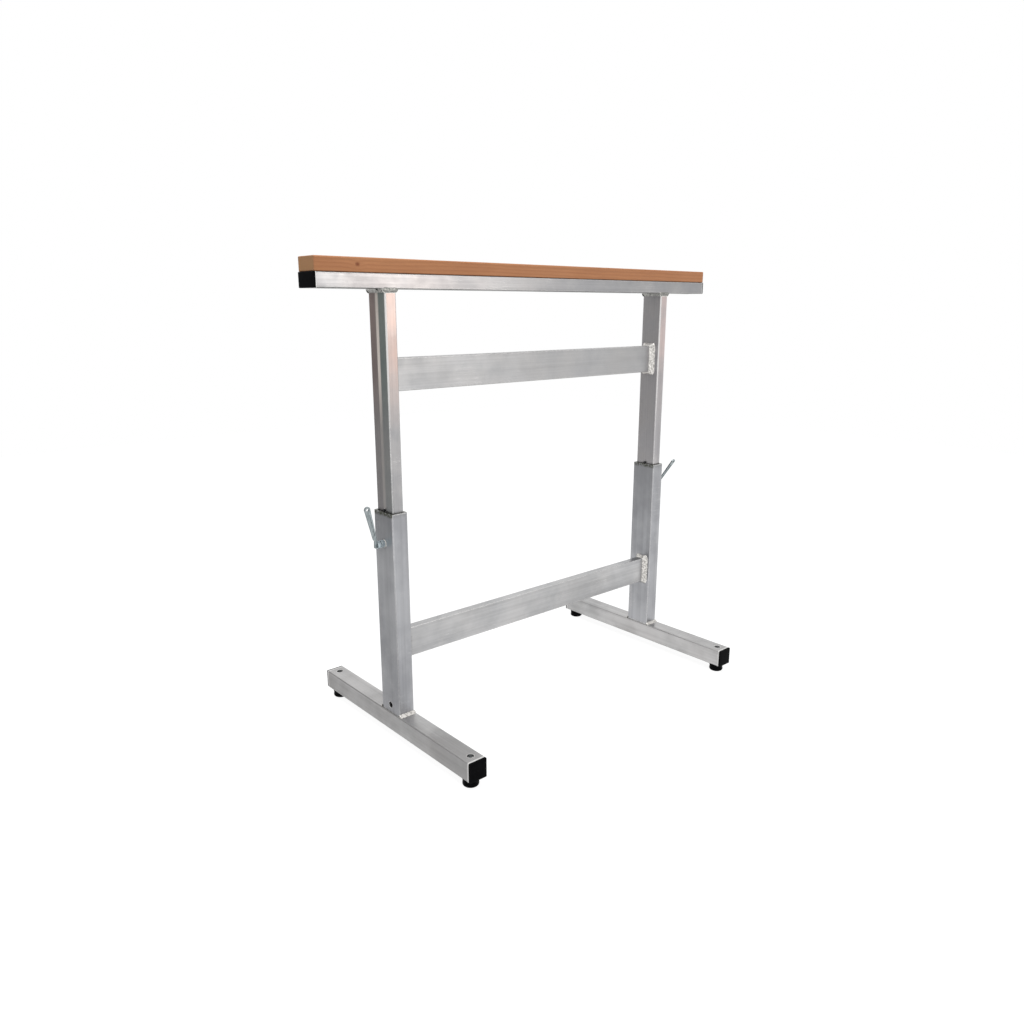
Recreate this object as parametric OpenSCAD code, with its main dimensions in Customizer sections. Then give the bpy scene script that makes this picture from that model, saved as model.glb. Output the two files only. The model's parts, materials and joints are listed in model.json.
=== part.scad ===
// Work platform bench: a height-adjustable aluminium trestle with a timber-topped beam.
// Millimetres, +Z up, X along the beam, front is -Y. The origin is on the floor, mid-length and mid-depth.

/* [Overall] */
// Length over the two beam end caps
overall_length = 1000; // [900:5:1500]
// Height of the timber's top face with the frame fully lowered
overall_height = 888.5; // [820:0.5:1100]
// Distance of a leg's centre from the beam's end
leg_inset = 140; // [110:5:250]

/* [Timber batten] */
// Depth of the batten, front to back
batten_depth = 52; // [40:1:58]
// Thickness of the batten
batten_height = 24; // [18:0.5:40]
// Amount by which each end of the batten stays behind the cap's face
batten_inset = 1.5; // [0.5:0.5:20]
// Radius on the batten's long edges
batten_edge = 2.5; // [0.5:0.5:6]
// Chamfer at the batten's ends
batten_end_chamfer = 1.2; // [0.4:0.2:4]
// Diameter of the wood screws that hold the batten from below
batten_screw_diameter = 4; // [3:0.5:6]
// Depth that the wood screws reach into the batten
batten_screw_bite = 16; // [10:1:17]
// Distance of the outermost wood screws beyond the leg centres
batten_screw_offset = 60; // [35:1:70]

/* [Beam] */
// Depth of the beam tube, front to back
beam_depth = 52; // [40:1:58]
// Height of the beam tube
beam_height = 25; // [20:1:50]
// Wall of the beam tube
beam_wall = 2.5; // [1.5:0.5:4]
// Outer corner radius of the beam tube
beam_corner = 2; // [0.5:0.5:4]
// Diameter of the screwdriver holes in the beam's underside
access_hole_diameter = 11; // [10:0.5:18]

/* [Uprights] */
// Depth of the sliding uprights, front to back
upright_depth = 51; // [40:1:52]
// Width of the sliding uprights, along the beam
upright_width = 23; // [18:1:40]
// Wall of the uprights
upright_wall = 3; // [2:0.5:4]
// Outer corner radius of the uprights
upright_corner = 2.5; // [0.5:0.5:5]
// Free height below the uprights' plastic glides when fully lowered
upright_bottom_clear = 29; // [25:1:150]

/* [Sleeves] */
// Length of the outer sleeves
sleeve_length = 397; // [330:1:420]
// Wall of the sleeves
sleeve_wall = 4; // [3:0.5:6]
// Outer corner radius of the sleeves
sleeve_corner = 3; // [0.5:0.5:6]
// Gap between an upright and its sleeve, each side
slide_gap = 1; // [0.5:0.1:2]
// Diameter of the open hole low in each sleeve's outer wall
side_hole_diameter = 12; // [6:0.5:16]
// Height of that hole's centre above the foot
side_hole_lift = 15; // [12:1:40]

/* [Glides and stop pins] */
// Thickness of the glide's head below the upright
glide_head = 5; // [3:0.5:12]
// Gap between a glide and the sleeve, each side
glide_gap = 0.3; // [0.2:0.1:0.5]
// Length of the glide's shank inside the upright
glide_shank = 22; // [10:1:60]
// Diameter of the stop pins that rest on the sleeves' rims
stop_pin_diameter = 5; // [3:0.5:8]
// Bore of the stop pins
stop_pin_bore = 2.6; // [1:0.2:2.8]
// Amount by which a stop pin stands out of its upright, each side
stop_pin_reach = 3; // [2:0.5:4.5]

/* [Rails] */
// Height of both rails
rail_height = 58; // [40:1:80]
// Thickness of both rails
rail_thickness = 18; // [12:1:22]
// Wall of both rails
rail_wall = 2.5; // [1.5:0.5:4]
// Outer corner radius of both rails
rail_corner = 1.5; // [0.5:0.5:4]
// Distance from the beam down to the upper rail
upper_rail_drop = 115; // [20:1:250]
// Distance of the upper rail's front face behind the uprights' front faces
upper_rail_setback = 20; // [8:1:25]
// Distance from the foot up to the lower rail
lower_rail_lift = 110; // [30:1:250]
// Distance of the lower rail's front face behind the sleeves' front faces
lower_rail_setback = 15; // [8:1:35]

/* [Feet] */
// Width and height of the square foot tubes
foot_size = 38; // [36:1:60]
// Wall of the foot tubes
foot_wall = 3; // [2:0.5:4]
// Outer corner radius of the foot tubes
foot_corner = 3; // [0.5:0.5:6]
// Length of the foot tubes without their caps
foot_length = 490; // [350:5:800]

/* [End caps] */
// Thickness of the end caps' heads
cap_head = 3.5; // [2:0.5:8]
// Chamfer round the end caps' faces
cap_chamfer = 0.8; // [0.2:0.2:1.8]
// Length of the end caps' skirts inside the tubes
cap_skirt = 9; // [6:0.5:11]
// Wall of the end caps' skirts
cap_skirt_wall = 2; // [1.2:0.2:3]
// Height of the grip fins round the skirts
cap_fin_height = 1; // [0.5:0.1:1.5]
// Thickness of the grip fins
cap_fin_thickness = 1.2; // [0.6:0.2:2]
// Number of grip fins on each skirt
cap_fins = 3; // [2:1:4]
// Gap between the fins and the tube, each side
cap_gap = 0.1; // [0.05:0.05:0.4]

/* [Levellers] */
// Diameter of the levellers' pads
pad_diameter = 30; // [24:1:36]
// Height of the pads
pad_height = 15.5; // [14:0.5:30]
// Radius on the pads' lower edges
pad_edge = 4; // [1:0.5:6]
// Distance of a leveller's centre from the foot tube's end
leveller_inset = 18.5; // [18:0.5:60]
// Diameter of the threaded stems
stem_diameter = 10; // [8:1:12]
// Depth of a stem's seat in its pad
stem_seat = 12; // [8:0.5:12.5]
// Distance of a stem's top end below the foot's top face
stem_top_drop = 2; // [1:0.5:12]
// Width across the flats of the key socket in a stem's top end
stem_key = 5; // [4:0.5:6]
// Depth of that key socket
stem_key_depth = 6; // [3:0.5:12]
// Radial clearance of a stem in its insert and pad
stem_play = 0.05; // [0.02:0.01:0.1]
// Diameter of the key holes in the feet's top faces
key_hole_diameter = 12.5; // [11:0.5:18]
// Length of the threaded inserts above the foot's underside
insert_length = 17; // [10:0.5:25]
// Wall of the threaded inserts round the stems
insert_wall = 1.5; // [1:0.1:3]
// Thickness of the inserts' flanges
insert_flange = 1.7; // [1:0.1:3]
// Amount by which the inserts' flanges stand out round their bodies
insert_flange_reach = 2; // [1:0.5:4]

/* [Clamps] */
// Distance from a sleeve's top to its clamp screw
clamp_drop = 59; // [30:1:120]
// Diameter of the clamp screws
screw_diameter = 8; // [6:0.5:10]
// Width across the flats of the clamp nuts and of the clamp screws' heads
nut_across = 13; // [13:0.5:20]
// Length of the clamp nuts
nut_length = 8; // [6:0.5:16]
// Height of the clamp screws' heads
head_height = 6.5; // [5:0.5:10]
// Gap between a clamped screw's head and its nut
head_gap = 1.2; // [0.5:0.1:3]
// Radial clearance of a clamp screw in its nut
screw_play = 0.05; // [0.02:0.01:0.1]
// Length of the pressure tips
tip_length = 3.5; // [3:0.1:3.6]
// Wall of the pressure tips round the screws' spigots
tip_wall = 1.8; // [1:0.1:2]
// Depth of a spigot in its pressure tip
spigot_length = 2; // [1:0.1:2.4]
// Gap that the pressure tips keep from the uprights and the screws
tip_gap = 0.3; // [0.2:0.05:0.4]
// Thickness of the levers
lever_thickness = 3; // [2.5:0.5:6]
// Width of a lever's root, which is welded edge on to the screw's head
lever_root_width = 5; // [4:0.5:7]
// Length of a lever's root below the screw's centre
lever_tail = 6; // [4:0.5:6]
// Width of the levers at the bend
lever_bend_width = 7.5; // [5:0.5:10]
// Width of the levers at the eye
lever_tip_width = 12; // [9:0.5:16]
// Height of the eye above the screw when the lever points up
lever_reach = 69; // [45:1:120]
// Height of the bend above the screw
lever_bend = 12; // [12:0.5:20]
// Angle by which the levers lean outwards above the bend
lever_lean = 14.5; // [5:0.5:40]
// Diameter of the eye
eye_diameter = 5; // [3:0.5:6]
// Width of the pressed groove along each face of a lever
groove_width = 2.8; // [2:0.2:4]
// Depth of the pressed grooves
groove_depth = 0.7; // [0.3:0.1:1]
// Distance from the bend to a groove's lower end
groove_start = 8; // [4:0.5:12]
// Distance from a groove's upper end to the eye
groove_end = 11; // [8:0.5:20]
// Tilt of the clamped left lever towards the front
left_lever_tilt = 3; // [-180:1:180]
// Tilt of the clamped right lever towards the front
right_lever_tilt = 29; // [-180:1:180]

/* [Welds] */
// Leg of the weld beads under the beam
beam_weld_leg = 7; // [3:0.5:8]
// Leg of the weld beads round the rails' ends
rail_weld_leg = 8; // [3:0.5:8]
// Leg of the weld beads at the feet
foot_weld_leg = 5; // [2:0.5:6]
// Leg of the weld beads round the clamp nuts
nut_weld_leg = 2.5; // [1:0.5:4]

/* [Hidden] */
$fn = 48;
cut = 1;                  // how far a cutting shape runs past the surface it cuts
seat_gap = 0.3;           // between faces of two bodies that meet at rest
hole_play = 0.05;         // radial, round pins, screws and inserts within one body
inner_corner = 0.8;       // smallest inside corner of a tube
sides = [-1, 1];          // left and right legs
ends = [-1, 1];           // front and rear ends of a foot

leg_x = overall_length / 2 - leg_inset;      // distance of a leg's centre from the middle
beam_length = overall_length - 2 * cap_head;
batten_length = overall_length - 2 * batten_inset;
beam_top = overall_height - batten_height;
beam_bottom = beam_top - beam_height;

foot_bottom = pad_height + seat_gap + insert_flange;
foot_top = foot_bottom + foot_size;
leveller_y = foot_length / 2 - leveller_inset;
stem_bottom = pad_height - stem_seat + seat_gap;
stem_top = foot_top - stem_top_drop;
insert_radius = stem_diameter / 2 + stem_play + insert_wall;

cavity_width = upright_width + 2 * slide_gap;
cavity_depth = upright_depth + 2 * slide_gap;
sleeve_width = cavity_width + 2 * sleeve_wall;
sleeve_depth = cavity_depth + 2 * sleeve_wall;
sleeve_top = foot_top + sleeve_length;
sleeve_face = leg_x + sleeve_width / 2;      // distance of the outer face from the middle

upright_face = leg_x + upright_width / 2;
upright_bottom = foot_top + upright_bottom_clear + glide_head;
stop_pin_z = sleeve_top + seat_gap + stop_pin_diameter / 2;

upper_rail_z = beam_bottom - upper_rail_drop - rail_height / 2;
upper_rail_y = -upright_depth / 2 + upper_rail_setback + rail_thickness / 2;
lower_rail_z = foot_top + lower_rail_lift + rail_height / 2;
lower_rail_y = -sleeve_depth / 2 + lower_rail_setback + rail_thickness / 2;

clamp_z = sleeve_top - clamp_drop;
nut_corner = nut_across / 2 / cos(30);       // radius over the nut's corners
nut_chamfer = 1;
nut_chamfer_angle = 35;
tip_radius = screw_diameter / 4 + screw_play + tip_wall;
tip_start = upright_face + tip_gap;          // inner end of the pressure tip
screw_start = tip_start + tip_length + tip_gap;
head_start = sleeve_face + nut_length + head_gap;
lever_start = head_start + head_height;
bend_centre = [lever_bend_width / 2, lever_bend];      // outwards from lever_start and up from the screw
eye_centre = [bend_centre.x + (lever_reach - lever_bend) * tan(lever_lean), lever_reach];
eye_flank = 0.97;        // share of the ring's radius at which a lever's sides cross it

batten_screw_head = 2.2 * batten_screw_diameter;
batten_screw_head_height = 0.6 * batten_screw_diameter;
screw_point_radius = 0.3;
batten_screw_x = [-leg_x - batten_screw_offset, -leg_x / 2, 0, leg_x / 2, leg_x + batten_screw_offset];

// ---- shared shapes ----

// A rectangle with rounded corners, centred
module rounded_rect(w, h, r) {
    square([w - 2 * r, h], center = true);
    square([w, h - 2 * r], center = true);
    for (x = sides, y = ends)
        translate([x * (w / 2 - r), y * (h / 2 - r)]) circle(r);
}

// The section of an extruded tube
module tube_section(w, h, wall, r) {
    difference() {
        rounded_rect(w, h, r);
        rounded_rect(w - 2 * wall, h - 2 * wall, max(r - wall, inner_corner));
    }
}

// Stands a section up in the YZ plane and runs it along X
module along_x() {
    rotate([90, 0, 90]) children();
}

// Stands a section up in the XZ plane and runs it along Y
module along_y() {
    rotate([90, 0, 0]) children();
}

// A cylinder along X that starts at the origin
module rod_x(r, length) {
    rotate([0, 90, 0]) cylinder(r = r, h = length);
}

// A slab's outline with the two corners of its far side cut off
module chamfered_slab(w, t, c) {
    polygon([[-w / 2, 0], [w / 2, 0], [w / 2, t - c], [w / 2 - c, t], [-w / 2 + c, t], [-w / 2, t - c]]);
}

// A rectangle with its four corners cut off
module cut_corner_rect(w, h, c) {
    polygon([for (q = [[1, 1], [-1, 1], [-1, -1], [1, -1]], k = [0, 1])
        let (first = (q.x * q.y > 0) == (k == 0))
        [q.x * (w / 2 - (first ? 0 : c)), q.y * (h / 2 - (first ? c : 0))]]);
}

// A hollow plug for a tube's end: head on +Z, skirt with grip fins on -Z
module tube_plug(w, h, r, wall) {
    inner_w = w - 2 * wall - 2 * cap_gap;
    inner_h = h - 2 * wall - 2 * cap_gap;
    skirt_w = inner_w - 2 * cap_fin_height;
    skirt_h = inner_h - 2 * cap_fin_height;
    intersection() {
        linear_extrude(cap_head) rounded_rect(w, h, r);
        along_y() linear_extrude(h + 2 * cut, center = true) chamfered_slab(w, cap_head, cap_chamfer);
        along_x() linear_extrude(w + 2 * cut, center = true) chamfered_slab(h, cap_head, cap_chamfer);
    }
    difference() {
        union() {
            translate([0, 0, -cap_skirt]) linear_extrude(cap_skirt)
                rounded_rect(skirt_w, skirt_h, inner_corner);
            for (i = [0 : cap_fins - 1])
                translate([0, 0, -cap_skirt * (i + 0.75) / cap_fins - cap_fin_thickness / 2])
                    linear_extrude(cap_fin_thickness) rounded_rect(inner_w, inner_h, inner_corner);
        }
        translate([0, 0, -cap_skirt - cut]) linear_extrude(cap_skirt + cut)
            rounded_rect(skirt_w - 2 * cap_skirt_wall, skirt_h - 2 * cap_skirt_wall, inner_corner);
    }
}

// A quarter-round weld bead along Z, centred; it fills the corner's quadrant (qx, qy)
module weld_bead(leg, length, qx, qy) {
    linear_extrude(length, center = true) intersection() {
        circle(leg);
        translate([min(qx, 0) * leg, min(qy, 0) * leg]) square(leg);
    }
}

// The four beads that close one end of a rail against a leg's face at x
module rail_end_welds(x, side, y, z) {
    for (front = ends)
        translate([side * x, y + front * rail_thickness / 2, z])
            weld_bead(rail_weld_leg, rail_height - 2 * rail_corner, -side, front);
    for (above = ends)
        translate([side * x, y, z + above * rail_height / 2]) along_y()
            weld_bead(rail_weld_leg, rail_thickness - 2 * rail_corner, -side, above);
}

// ---- upper frame ----

module timber_batten() {
    color("peru") difference() {
        translate([0, 0, beam_top + batten_height / 2]) intersection() {
            along_x() linear_extrude(batten_length, center = true)
                rounded_rect(batten_depth, batten_height, batten_edge);
            linear_extrude(batten_height + 2 * cut, center = true)
                cut_corner_rect(batten_length, batten_depth, batten_end_chamfer);
            along_y() linear_extrude(batten_depth + 2 * cut, center = true)
                cut_corner_rect(batten_length, batten_height, batten_end_chamfer);
        }
        for (x = batten_screw_x) translate([x, 0, beam_top - cut])
            cylinder(r = batten_screw_diameter / 2 + hole_play, h = batten_screw_bite + hole_play + cut);
    }
}

// The wood screws: a round head inside the beam, a shank and a point
module batten_screws() {
    point = batten_screw_diameter;
    color("silver") for (x = batten_screw_x) translate([x, 0, beam_top - beam_wall]) {
        translate([0, 0, -batten_screw_head_height])
            cylinder(r = batten_screw_head / 2, h = batten_screw_head_height);
        cylinder(r = batten_screw_diameter / 2, h = beam_wall + batten_screw_bite - point);
        translate([0, 0, beam_wall + batten_screw_bite - point])
            cylinder(r1 = batten_screw_diameter / 2, r2 = screw_point_radius, h = point);
    }
}

module beam_tube() {
    color("gainsboro") difference() {
        translate([0, 0, beam_bottom + beam_height / 2]) along_x()
            linear_extrude(beam_length, center = true)
            tube_section(beam_depth, beam_height, beam_wall, beam_corner);
        for (x = batten_screw_x) {
            translate([x, 0, beam_top - beam_wall - cut])
                cylinder(r = batten_screw_diameter / 2 + hole_play, h = beam_wall + 2 * cut);
            translate([x, 0, beam_bottom - cut])
                cylinder(r = access_hole_diameter / 2, h = beam_wall + 2 * cut);
        }
    }
}

module beam_cap(side) {
    color("dimgray") translate([side * beam_length / 2, 0, beam_bottom + beam_height / 2])
        rotate([90, 0, side * 90]) tube_plug(beam_depth, beam_height, beam_corner, beam_wall);
}

module upright(side) {
    color("lightgray") difference() {
        translate([side * leg_x, 0, upright_bottom]) linear_extrude(beam_bottom - upright_bottom)
            tube_section(upright_width, upright_depth, upright_wall, upright_corner);
        translate([side * leg_x - upright_width / 2 - cut, 0, stop_pin_z])
            rod_x(stop_pin_diameter / 2 + hole_play, upright_width + 2 * cut);
    }
}

// A plastic plug in the upright's lower end that keeps it central in the sleeve
module glide(side) {
    head_w = cavity_width - 2 * glide_gap;
    head_d = cavity_depth - 2 * glide_gap;
    shank_w = upright_width - 2 * upright_wall - 2 * cap_gap;
    shank_d = upright_depth - 2 * upright_wall - 2 * cap_gap;
    color("dimgray") translate([side * leg_x, 0, upright_bottom]) difference() {
        union() {
            translate([0, 0, -glide_head]) linear_extrude(glide_head)
                rounded_rect(head_w, head_d, max(sleeve_corner - sleeve_wall, inner_corner));
            linear_extrude(glide_shank) rounded_rect(shank_w, shank_d, inner_corner);
        }
        translate([0, 0, -glide_head - cut]) linear_extrude(glide_shank + glide_head + 2 * cut)
            rounded_rect(shank_w - 2 * cap_skirt_wall, shank_d - 2 * cap_skirt_wall, inner_corner);
    }
}

// A hollow pin across the upright that comes to rest on the sleeve's rim
module stop_pin(side) {
    length = upright_width + 2 * stop_pin_reach;
    color("silver") translate([side * leg_x - length / 2, 0, stop_pin_z]) difference() {
        rod_x(stop_pin_diameter / 2, length);
        translate([-cut, 0, 0]) rod_x(stop_pin_bore / 2, length + 2 * cut);
    }
}

module upper_rail() {
    color("lightgray") translate([0, upper_rail_y, upper_rail_z]) along_x()
        linear_extrude(2 * leg_x - upright_width, center = true)
        tube_section(rail_thickness, rail_height, rail_wall, rail_corner);
}

module frame_welds() {
    color("silver") for (side = sides) {
        for (out = ends)
            translate([side * leg_x + out * upright_width / 2, 0, beam_bottom]) along_y()
                weld_bead(beam_weld_leg, upright_depth - 2 * upright_corner, out, -1);
        rail_end_welds(leg_x - upright_width / 2, side, upper_rail_y, upper_rail_z);
    }
}

// ---- base ----

module sleeve(side) {
    color("darkgray") difference() {
        translate([side * leg_x, 0, foot_top]) linear_extrude(sleeve_length)
            tube_section(sleeve_width, sleeve_depth, sleeve_wall, sleeve_corner);
        mirror([side < 0 ? 1 : 0, 0, 0]) {
            translate([sleeve_face - sleeve_wall - slide_gap / 2, 0, clamp_z])
                rod_x(tip_radius + seat_gap, sleeve_wall + cut);
            translate([sleeve_face - sleeve_wall - slide_gap / 2, 0, foot_top + side_hole_lift])
                rod_x(side_hole_diameter / 2, sleeve_wall + cut);
        }
    }
}

module lower_rail() {
    color("lightgray") translate([0, lower_rail_y, lower_rail_z]) along_x()
        linear_extrude(2 * leg_x - sleeve_width, center = true)
        tube_section(rail_thickness, rail_height, rail_wall, rail_corner);
}

module foot_tube(side) {
    color("lightgray") difference() {
        translate([side * leg_x, 0, foot_bottom + foot_size / 2]) along_y()
            linear_extrude(foot_length, center = true)
            tube_section(foot_size, foot_size, foot_wall, foot_corner);
        for (end = ends) translate([side * leg_x, end * leveller_y, 0]) {
            translate([0, 0, foot_bottom - cut])
                cylinder(r = insert_radius + hole_play, h = foot_wall + 2 * cut);
            translate([0, 0, foot_top - foot_wall - cut])
                cylinder(r = key_hole_diameter / 2, h = foot_wall + 2 * cut);
        }
    }
}

module foot_cap(side, end) {
    color("dimgray") translate([side * leg_x, end * foot_length / 2, foot_bottom + foot_size / 2])
        rotate([-end * 90, 0, 0]) tube_plug(foot_size, foot_size, foot_corner, foot_wall);
}

// A threaded insert in the foot's underside; its thread is left plain
module insert(side, end) {
    color("silver") translate([side * leg_x, end * leveller_y, foot_bottom]) difference() {
        union() {
            translate([0, 0, -insert_flange])
                cylinder(r = insert_radius + insert_flange_reach, h = insert_flange);
            cylinder(r = insert_radius, h = insert_length);
        }
        translate([0, 0, -insert_flange - cut])
            cylinder(r = stem_diameter / 2 + stem_play, h = insert_length + insert_flange + 2 * cut);
    }
}

// A hexagonal bar along X with its far corners chamfered, as a nut or a screw's head
module hexagon_x(length) {
    rim = nut_corner - nut_chamfer / tan(nut_chamfer_angle);
    rotate([0, 90, 0]) intersection() {
        cylinder(r = nut_corner, h = length, $fn = 6);
        union() {
            cylinder(r = nut_corner + cut, h = length - nut_chamfer);
            translate([0, 0, length - nut_chamfer]) cylinder(r1 = nut_corner, r2 = rim, h = nut_chamfer);
        }
    }
}

// A hexagonal nut, welded over the hole in the sleeve's outer wall
module clamp_nut(side) {
    color("silver") mirror([side < 0 ? 1 : 0, 0, 0]) translate([sleeve_face, 0, clamp_z]) difference() {
        hexagon_x(nut_length);
        translate([-cut, 0, 0]) rod_x(screw_diameter / 2 + screw_play, nut_length + 2 * cut);
    }
}

module base_welds() {
    color("silver") for (side = sides) {
        for (front = ends)
            translate([side * leg_x, front * sleeve_depth / 2, foot_top]) along_x()
                weld_bead(foot_weld_leg, sleeve_width - 2 * sleeve_corner, front, 1);
        rail_end_welds(leg_x - sleeve_width / 2, side, lower_rail_y, lower_rail_z);
        translate([side * sleeve_face, 0, clamp_z]) rotate([0, side * 90, 0])
            rotate_extrude() translate([nut_corner, 0])
                polygon([[0, 0], [nut_weld_leg, 0], [0, nut_weld_leg]]);
    }
}

// ---- levellers ----

// A moulded pad with a blind seat in which the stem turns
module pad(side, end) {
    color("dimgray") translate([side * leg_x, end * leveller_y, 0]) difference() {
        rotate_extrude() {
            square([pad_diameter / 2 - pad_edge, pad_height]);
            translate([0, pad_edge]) square([pad_diameter / 2, pad_height - pad_edge]);
            translate([pad_diameter / 2 - pad_edge, pad_edge]) intersection() {
                circle(pad_edge);
                translate([0, -pad_edge]) square(pad_edge);
            }
        }
        translate([0, 0, pad_height - stem_seat])
            cylinder(r = stem_diameter / 2 + stem_play, h = stem_seat + cut);
    }
}

module stem(side, end) {
    color("silver") translate([side * leg_x, end * leveller_y, stem_bottom]) difference() {
        cylinder(r = stem_diameter / 2, h = stem_top - stem_bottom);
        translate([0, 0, stem_top - stem_bottom - stem_key_depth])
            cylinder(r = stem_key / 2 / cos(30), h = stem_key_depth + cut, $fn = 6);
    }
}

// ---- clamps ----

// A pressure tip inside the sleeve's wall, with a blind hole for the screw's spigot
module clamp_tip(side) {
    color("gold") mirror([side < 0 ? 1 : 0, 0, 0]) translate([tip_start, 0, clamp_z]) difference() {
        rod_x(tip_radius, tip_length);
        translate([tip_length - spigot_length - tip_gap / 2, 0, 0])
            rod_x(screw_diameter / 4 + screw_play, spigot_length + tip_gap / 2 + cut);
    }
}

// The screw: spigot, shank through the nut, and hexagonal head
module clamp_screw(side) {
    color("silver") mirror([side < 0 ? 1 : 0, 0, 0]) translate([0, 0, clamp_z]) {
        translate([screw_start - spigot_length, 0, 0]) rod_x(screw_diameter / 4, spigot_length);
        translate([screw_start, 0, 0]) rod_x(screw_diameter / 2, head_start - screw_start);
        translate([head_start, 0, 0]) hexagon_x(head_height);
    }
}

// A lever's outline seen from the front: root, bend, tapering arm and the ring of the eye
module lever_outline() {
    root_low = lever_root_width / 2 - lever_tail;
    across = [cos(lever_lean), -sin(lever_lean)];
    flank = eye_flank * lever_tip_width / 2 * across;
    difference() {
        union() {
            translate([lever_root_width / 2, root_low]) circle(lever_root_width / 2);
            translate(eye_centre) circle(lever_tip_width / 2);
            polygon([[0, root_low], [lever_root_width, root_low],
                [lever_root_width, lever_bend - lever_bend_width / 2],
                bend_centre + lever_bend_width / 2 * across, eye_centre + flank, eye_centre - flank,
                [0, lever_bend]]);
        }
        translate(eye_centre) circle(eye_diameter / 2);
    }
}

// A flat steel lever that stands edge on to the screw's head, with a groove along each face
module clamp_lever(side) {
    tilt = side < 0 ? left_lever_tilt : right_lever_tilt;
    groove_stop = norm(eye_centre - bend_centre) - groove_end;
    color("silver") mirror([side < 0 ? 1 : 0, 0, 0]) translate([lever_start, 0, clamp_z])
        rotate([tilt, 0, 0]) difference() {
            along_y() linear_extrude(lever_thickness, center = true) lever_outline();
            for (face = sides)
                translate([bend_centre.x, face * (lever_thickness - groove_depth + cut) / 2, bend_centre.y])
                    rotate([0, lever_lean, 0]) {
                        for (z = [groove_start, groove_stop]) translate([0, 0, z])
                            along_y() cylinder(r = groove_width / 2, h = groove_depth + cut, center = true);
                        translate([0, 0, (groove_start + groove_stop) / 2])
                            cube([groove_width, groove_depth + cut, groove_stop - groove_start], center = true);
                    }
        }
}

timber_batten();
batten_screws();
beam_tube();
beam_cap(-1);  // left_beam_cap
beam_cap(1);  // right_beam_cap
upright(-1);  // left_upright
upright(1);  // right_upright
upper_rail();
glide(-1);  // left_glide
glide(1);  // right_glide
stop_pin(-1);  // left_stop_pin
stop_pin(1);  // right_stop_pin
frame_welds();
sleeve(-1);  // left_sleeve
sleeve(1);  // right_sleeve
lower_rail();
foot_tube(-1);  // left_foot_tube
foot_tube(1);  // right_foot_tube
foot_cap(-1, -1);  // left_front_foot_cap
foot_cap(-1, 1);  // left_rear_foot_cap
foot_cap(1, -1);  // right_front_foot_cap
foot_cap(1, 1);  // right_rear_foot_cap
insert(-1, -1);  // left_front_insert
insert(-1, 1);  // left_rear_insert
insert(1, -1);  // right_front_insert
insert(1, 1);  // right_rear_insert
clamp_nut(-1);  // left_clamp_nut
clamp_nut(1);  // right_clamp_nut
base_welds();
pad(-1, -1);  // left_front_pad
pad(-1, 1);  // left_rear_pad
pad(1, -1);  // right_front_pad
pad(1, 1);  // right_rear_pad
stem(-1, -1);  // left_front_stem
stem(-1, 1);  // left_rear_stem
stem(1, -1);  // right_front_stem
stem(1, 1);  // right_rear_stem
clamp_tip(-1);  // left_clamp_tip
clamp_tip(1);  // right_clamp_tip
clamp_screw(-1);  // left_clamp_screw
clamp_screw(1);  // right_clamp_screw
clamp_lever(-1);  // left_clamp_lever
clamp_lever(1);  // right_clamp_lever
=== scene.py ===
import json
import math
import bmesh
import bpy
from mathutils import Matrix, Vector, noise
from mathutils.bvhtree import BVHTree


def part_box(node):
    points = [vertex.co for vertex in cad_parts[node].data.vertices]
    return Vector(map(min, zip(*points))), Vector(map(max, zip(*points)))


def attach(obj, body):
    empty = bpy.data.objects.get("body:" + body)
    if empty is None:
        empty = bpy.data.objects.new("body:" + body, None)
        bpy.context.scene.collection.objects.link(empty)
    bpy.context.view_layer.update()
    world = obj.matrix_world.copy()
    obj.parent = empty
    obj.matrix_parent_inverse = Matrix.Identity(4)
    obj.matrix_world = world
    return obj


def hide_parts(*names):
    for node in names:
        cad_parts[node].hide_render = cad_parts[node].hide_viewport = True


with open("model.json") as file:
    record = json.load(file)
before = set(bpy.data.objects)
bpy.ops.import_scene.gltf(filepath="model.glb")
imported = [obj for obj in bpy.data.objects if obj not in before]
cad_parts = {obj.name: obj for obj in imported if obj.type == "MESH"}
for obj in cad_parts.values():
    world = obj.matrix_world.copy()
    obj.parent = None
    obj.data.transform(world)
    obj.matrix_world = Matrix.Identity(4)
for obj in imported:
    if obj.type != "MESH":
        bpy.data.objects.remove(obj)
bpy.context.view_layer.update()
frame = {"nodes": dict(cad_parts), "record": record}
cadNode = frame["nodes"]
bodyOf = {node: body for body, members in frame["record"]["behaviour"]["bodies"].items() for node in members}
legSides = ("left", "right")


# Camera: where the photograph was taken from, settled by the image points below
cameraLook = {
    "place": (-1.13751, -1.23312, 0.81115),
    "yaw": 40.941,  # degrees to the right of +Y
    "pitch": -14.919,  # degrees, negative looks down
    "lens": 28.727,
    "sensorWidth": 36.0,
    "shift": (0.0, 0.01182),
    "imageSize": 1024,
}

# Places in the photograph's frame, in pixels from its top left corner
imagePoint = {
    "objectLeft": (296.2, None),
    "objectRight": (727.8, None),
    "objectTop": (None, 255.0),
    "objectBottom": (None, 788.8),
    "timberNearTop": (313.0, 255.1),
    "timberFarTop": (703.9, 272.9),
    "leftUprightTop": (386.3, 290.6),
    "rightUprightTop": (661.3, 293.5),
    "leftSleeveTop": (391.7, 513.2),
    "rightSleeveTop": (654.2, 464.9),
    "leftFrontCapTop": (487.3, 757.3),
    "leftRearFootTop": (326.0, 670.2),
    "leftLeverEye": (367.1, 510.1),
    "rightLeverEye": (672.9, 461.3),
    "sideHole": (390.1, 703.0),
    "frontKeyHole": (470.6, 756.3),
    "timberKnot": (357.5, 264.1),
    "weldPit": (376.0, 288.8),
    "upperRailWeld": (652.3, 358.0),
}


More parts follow.
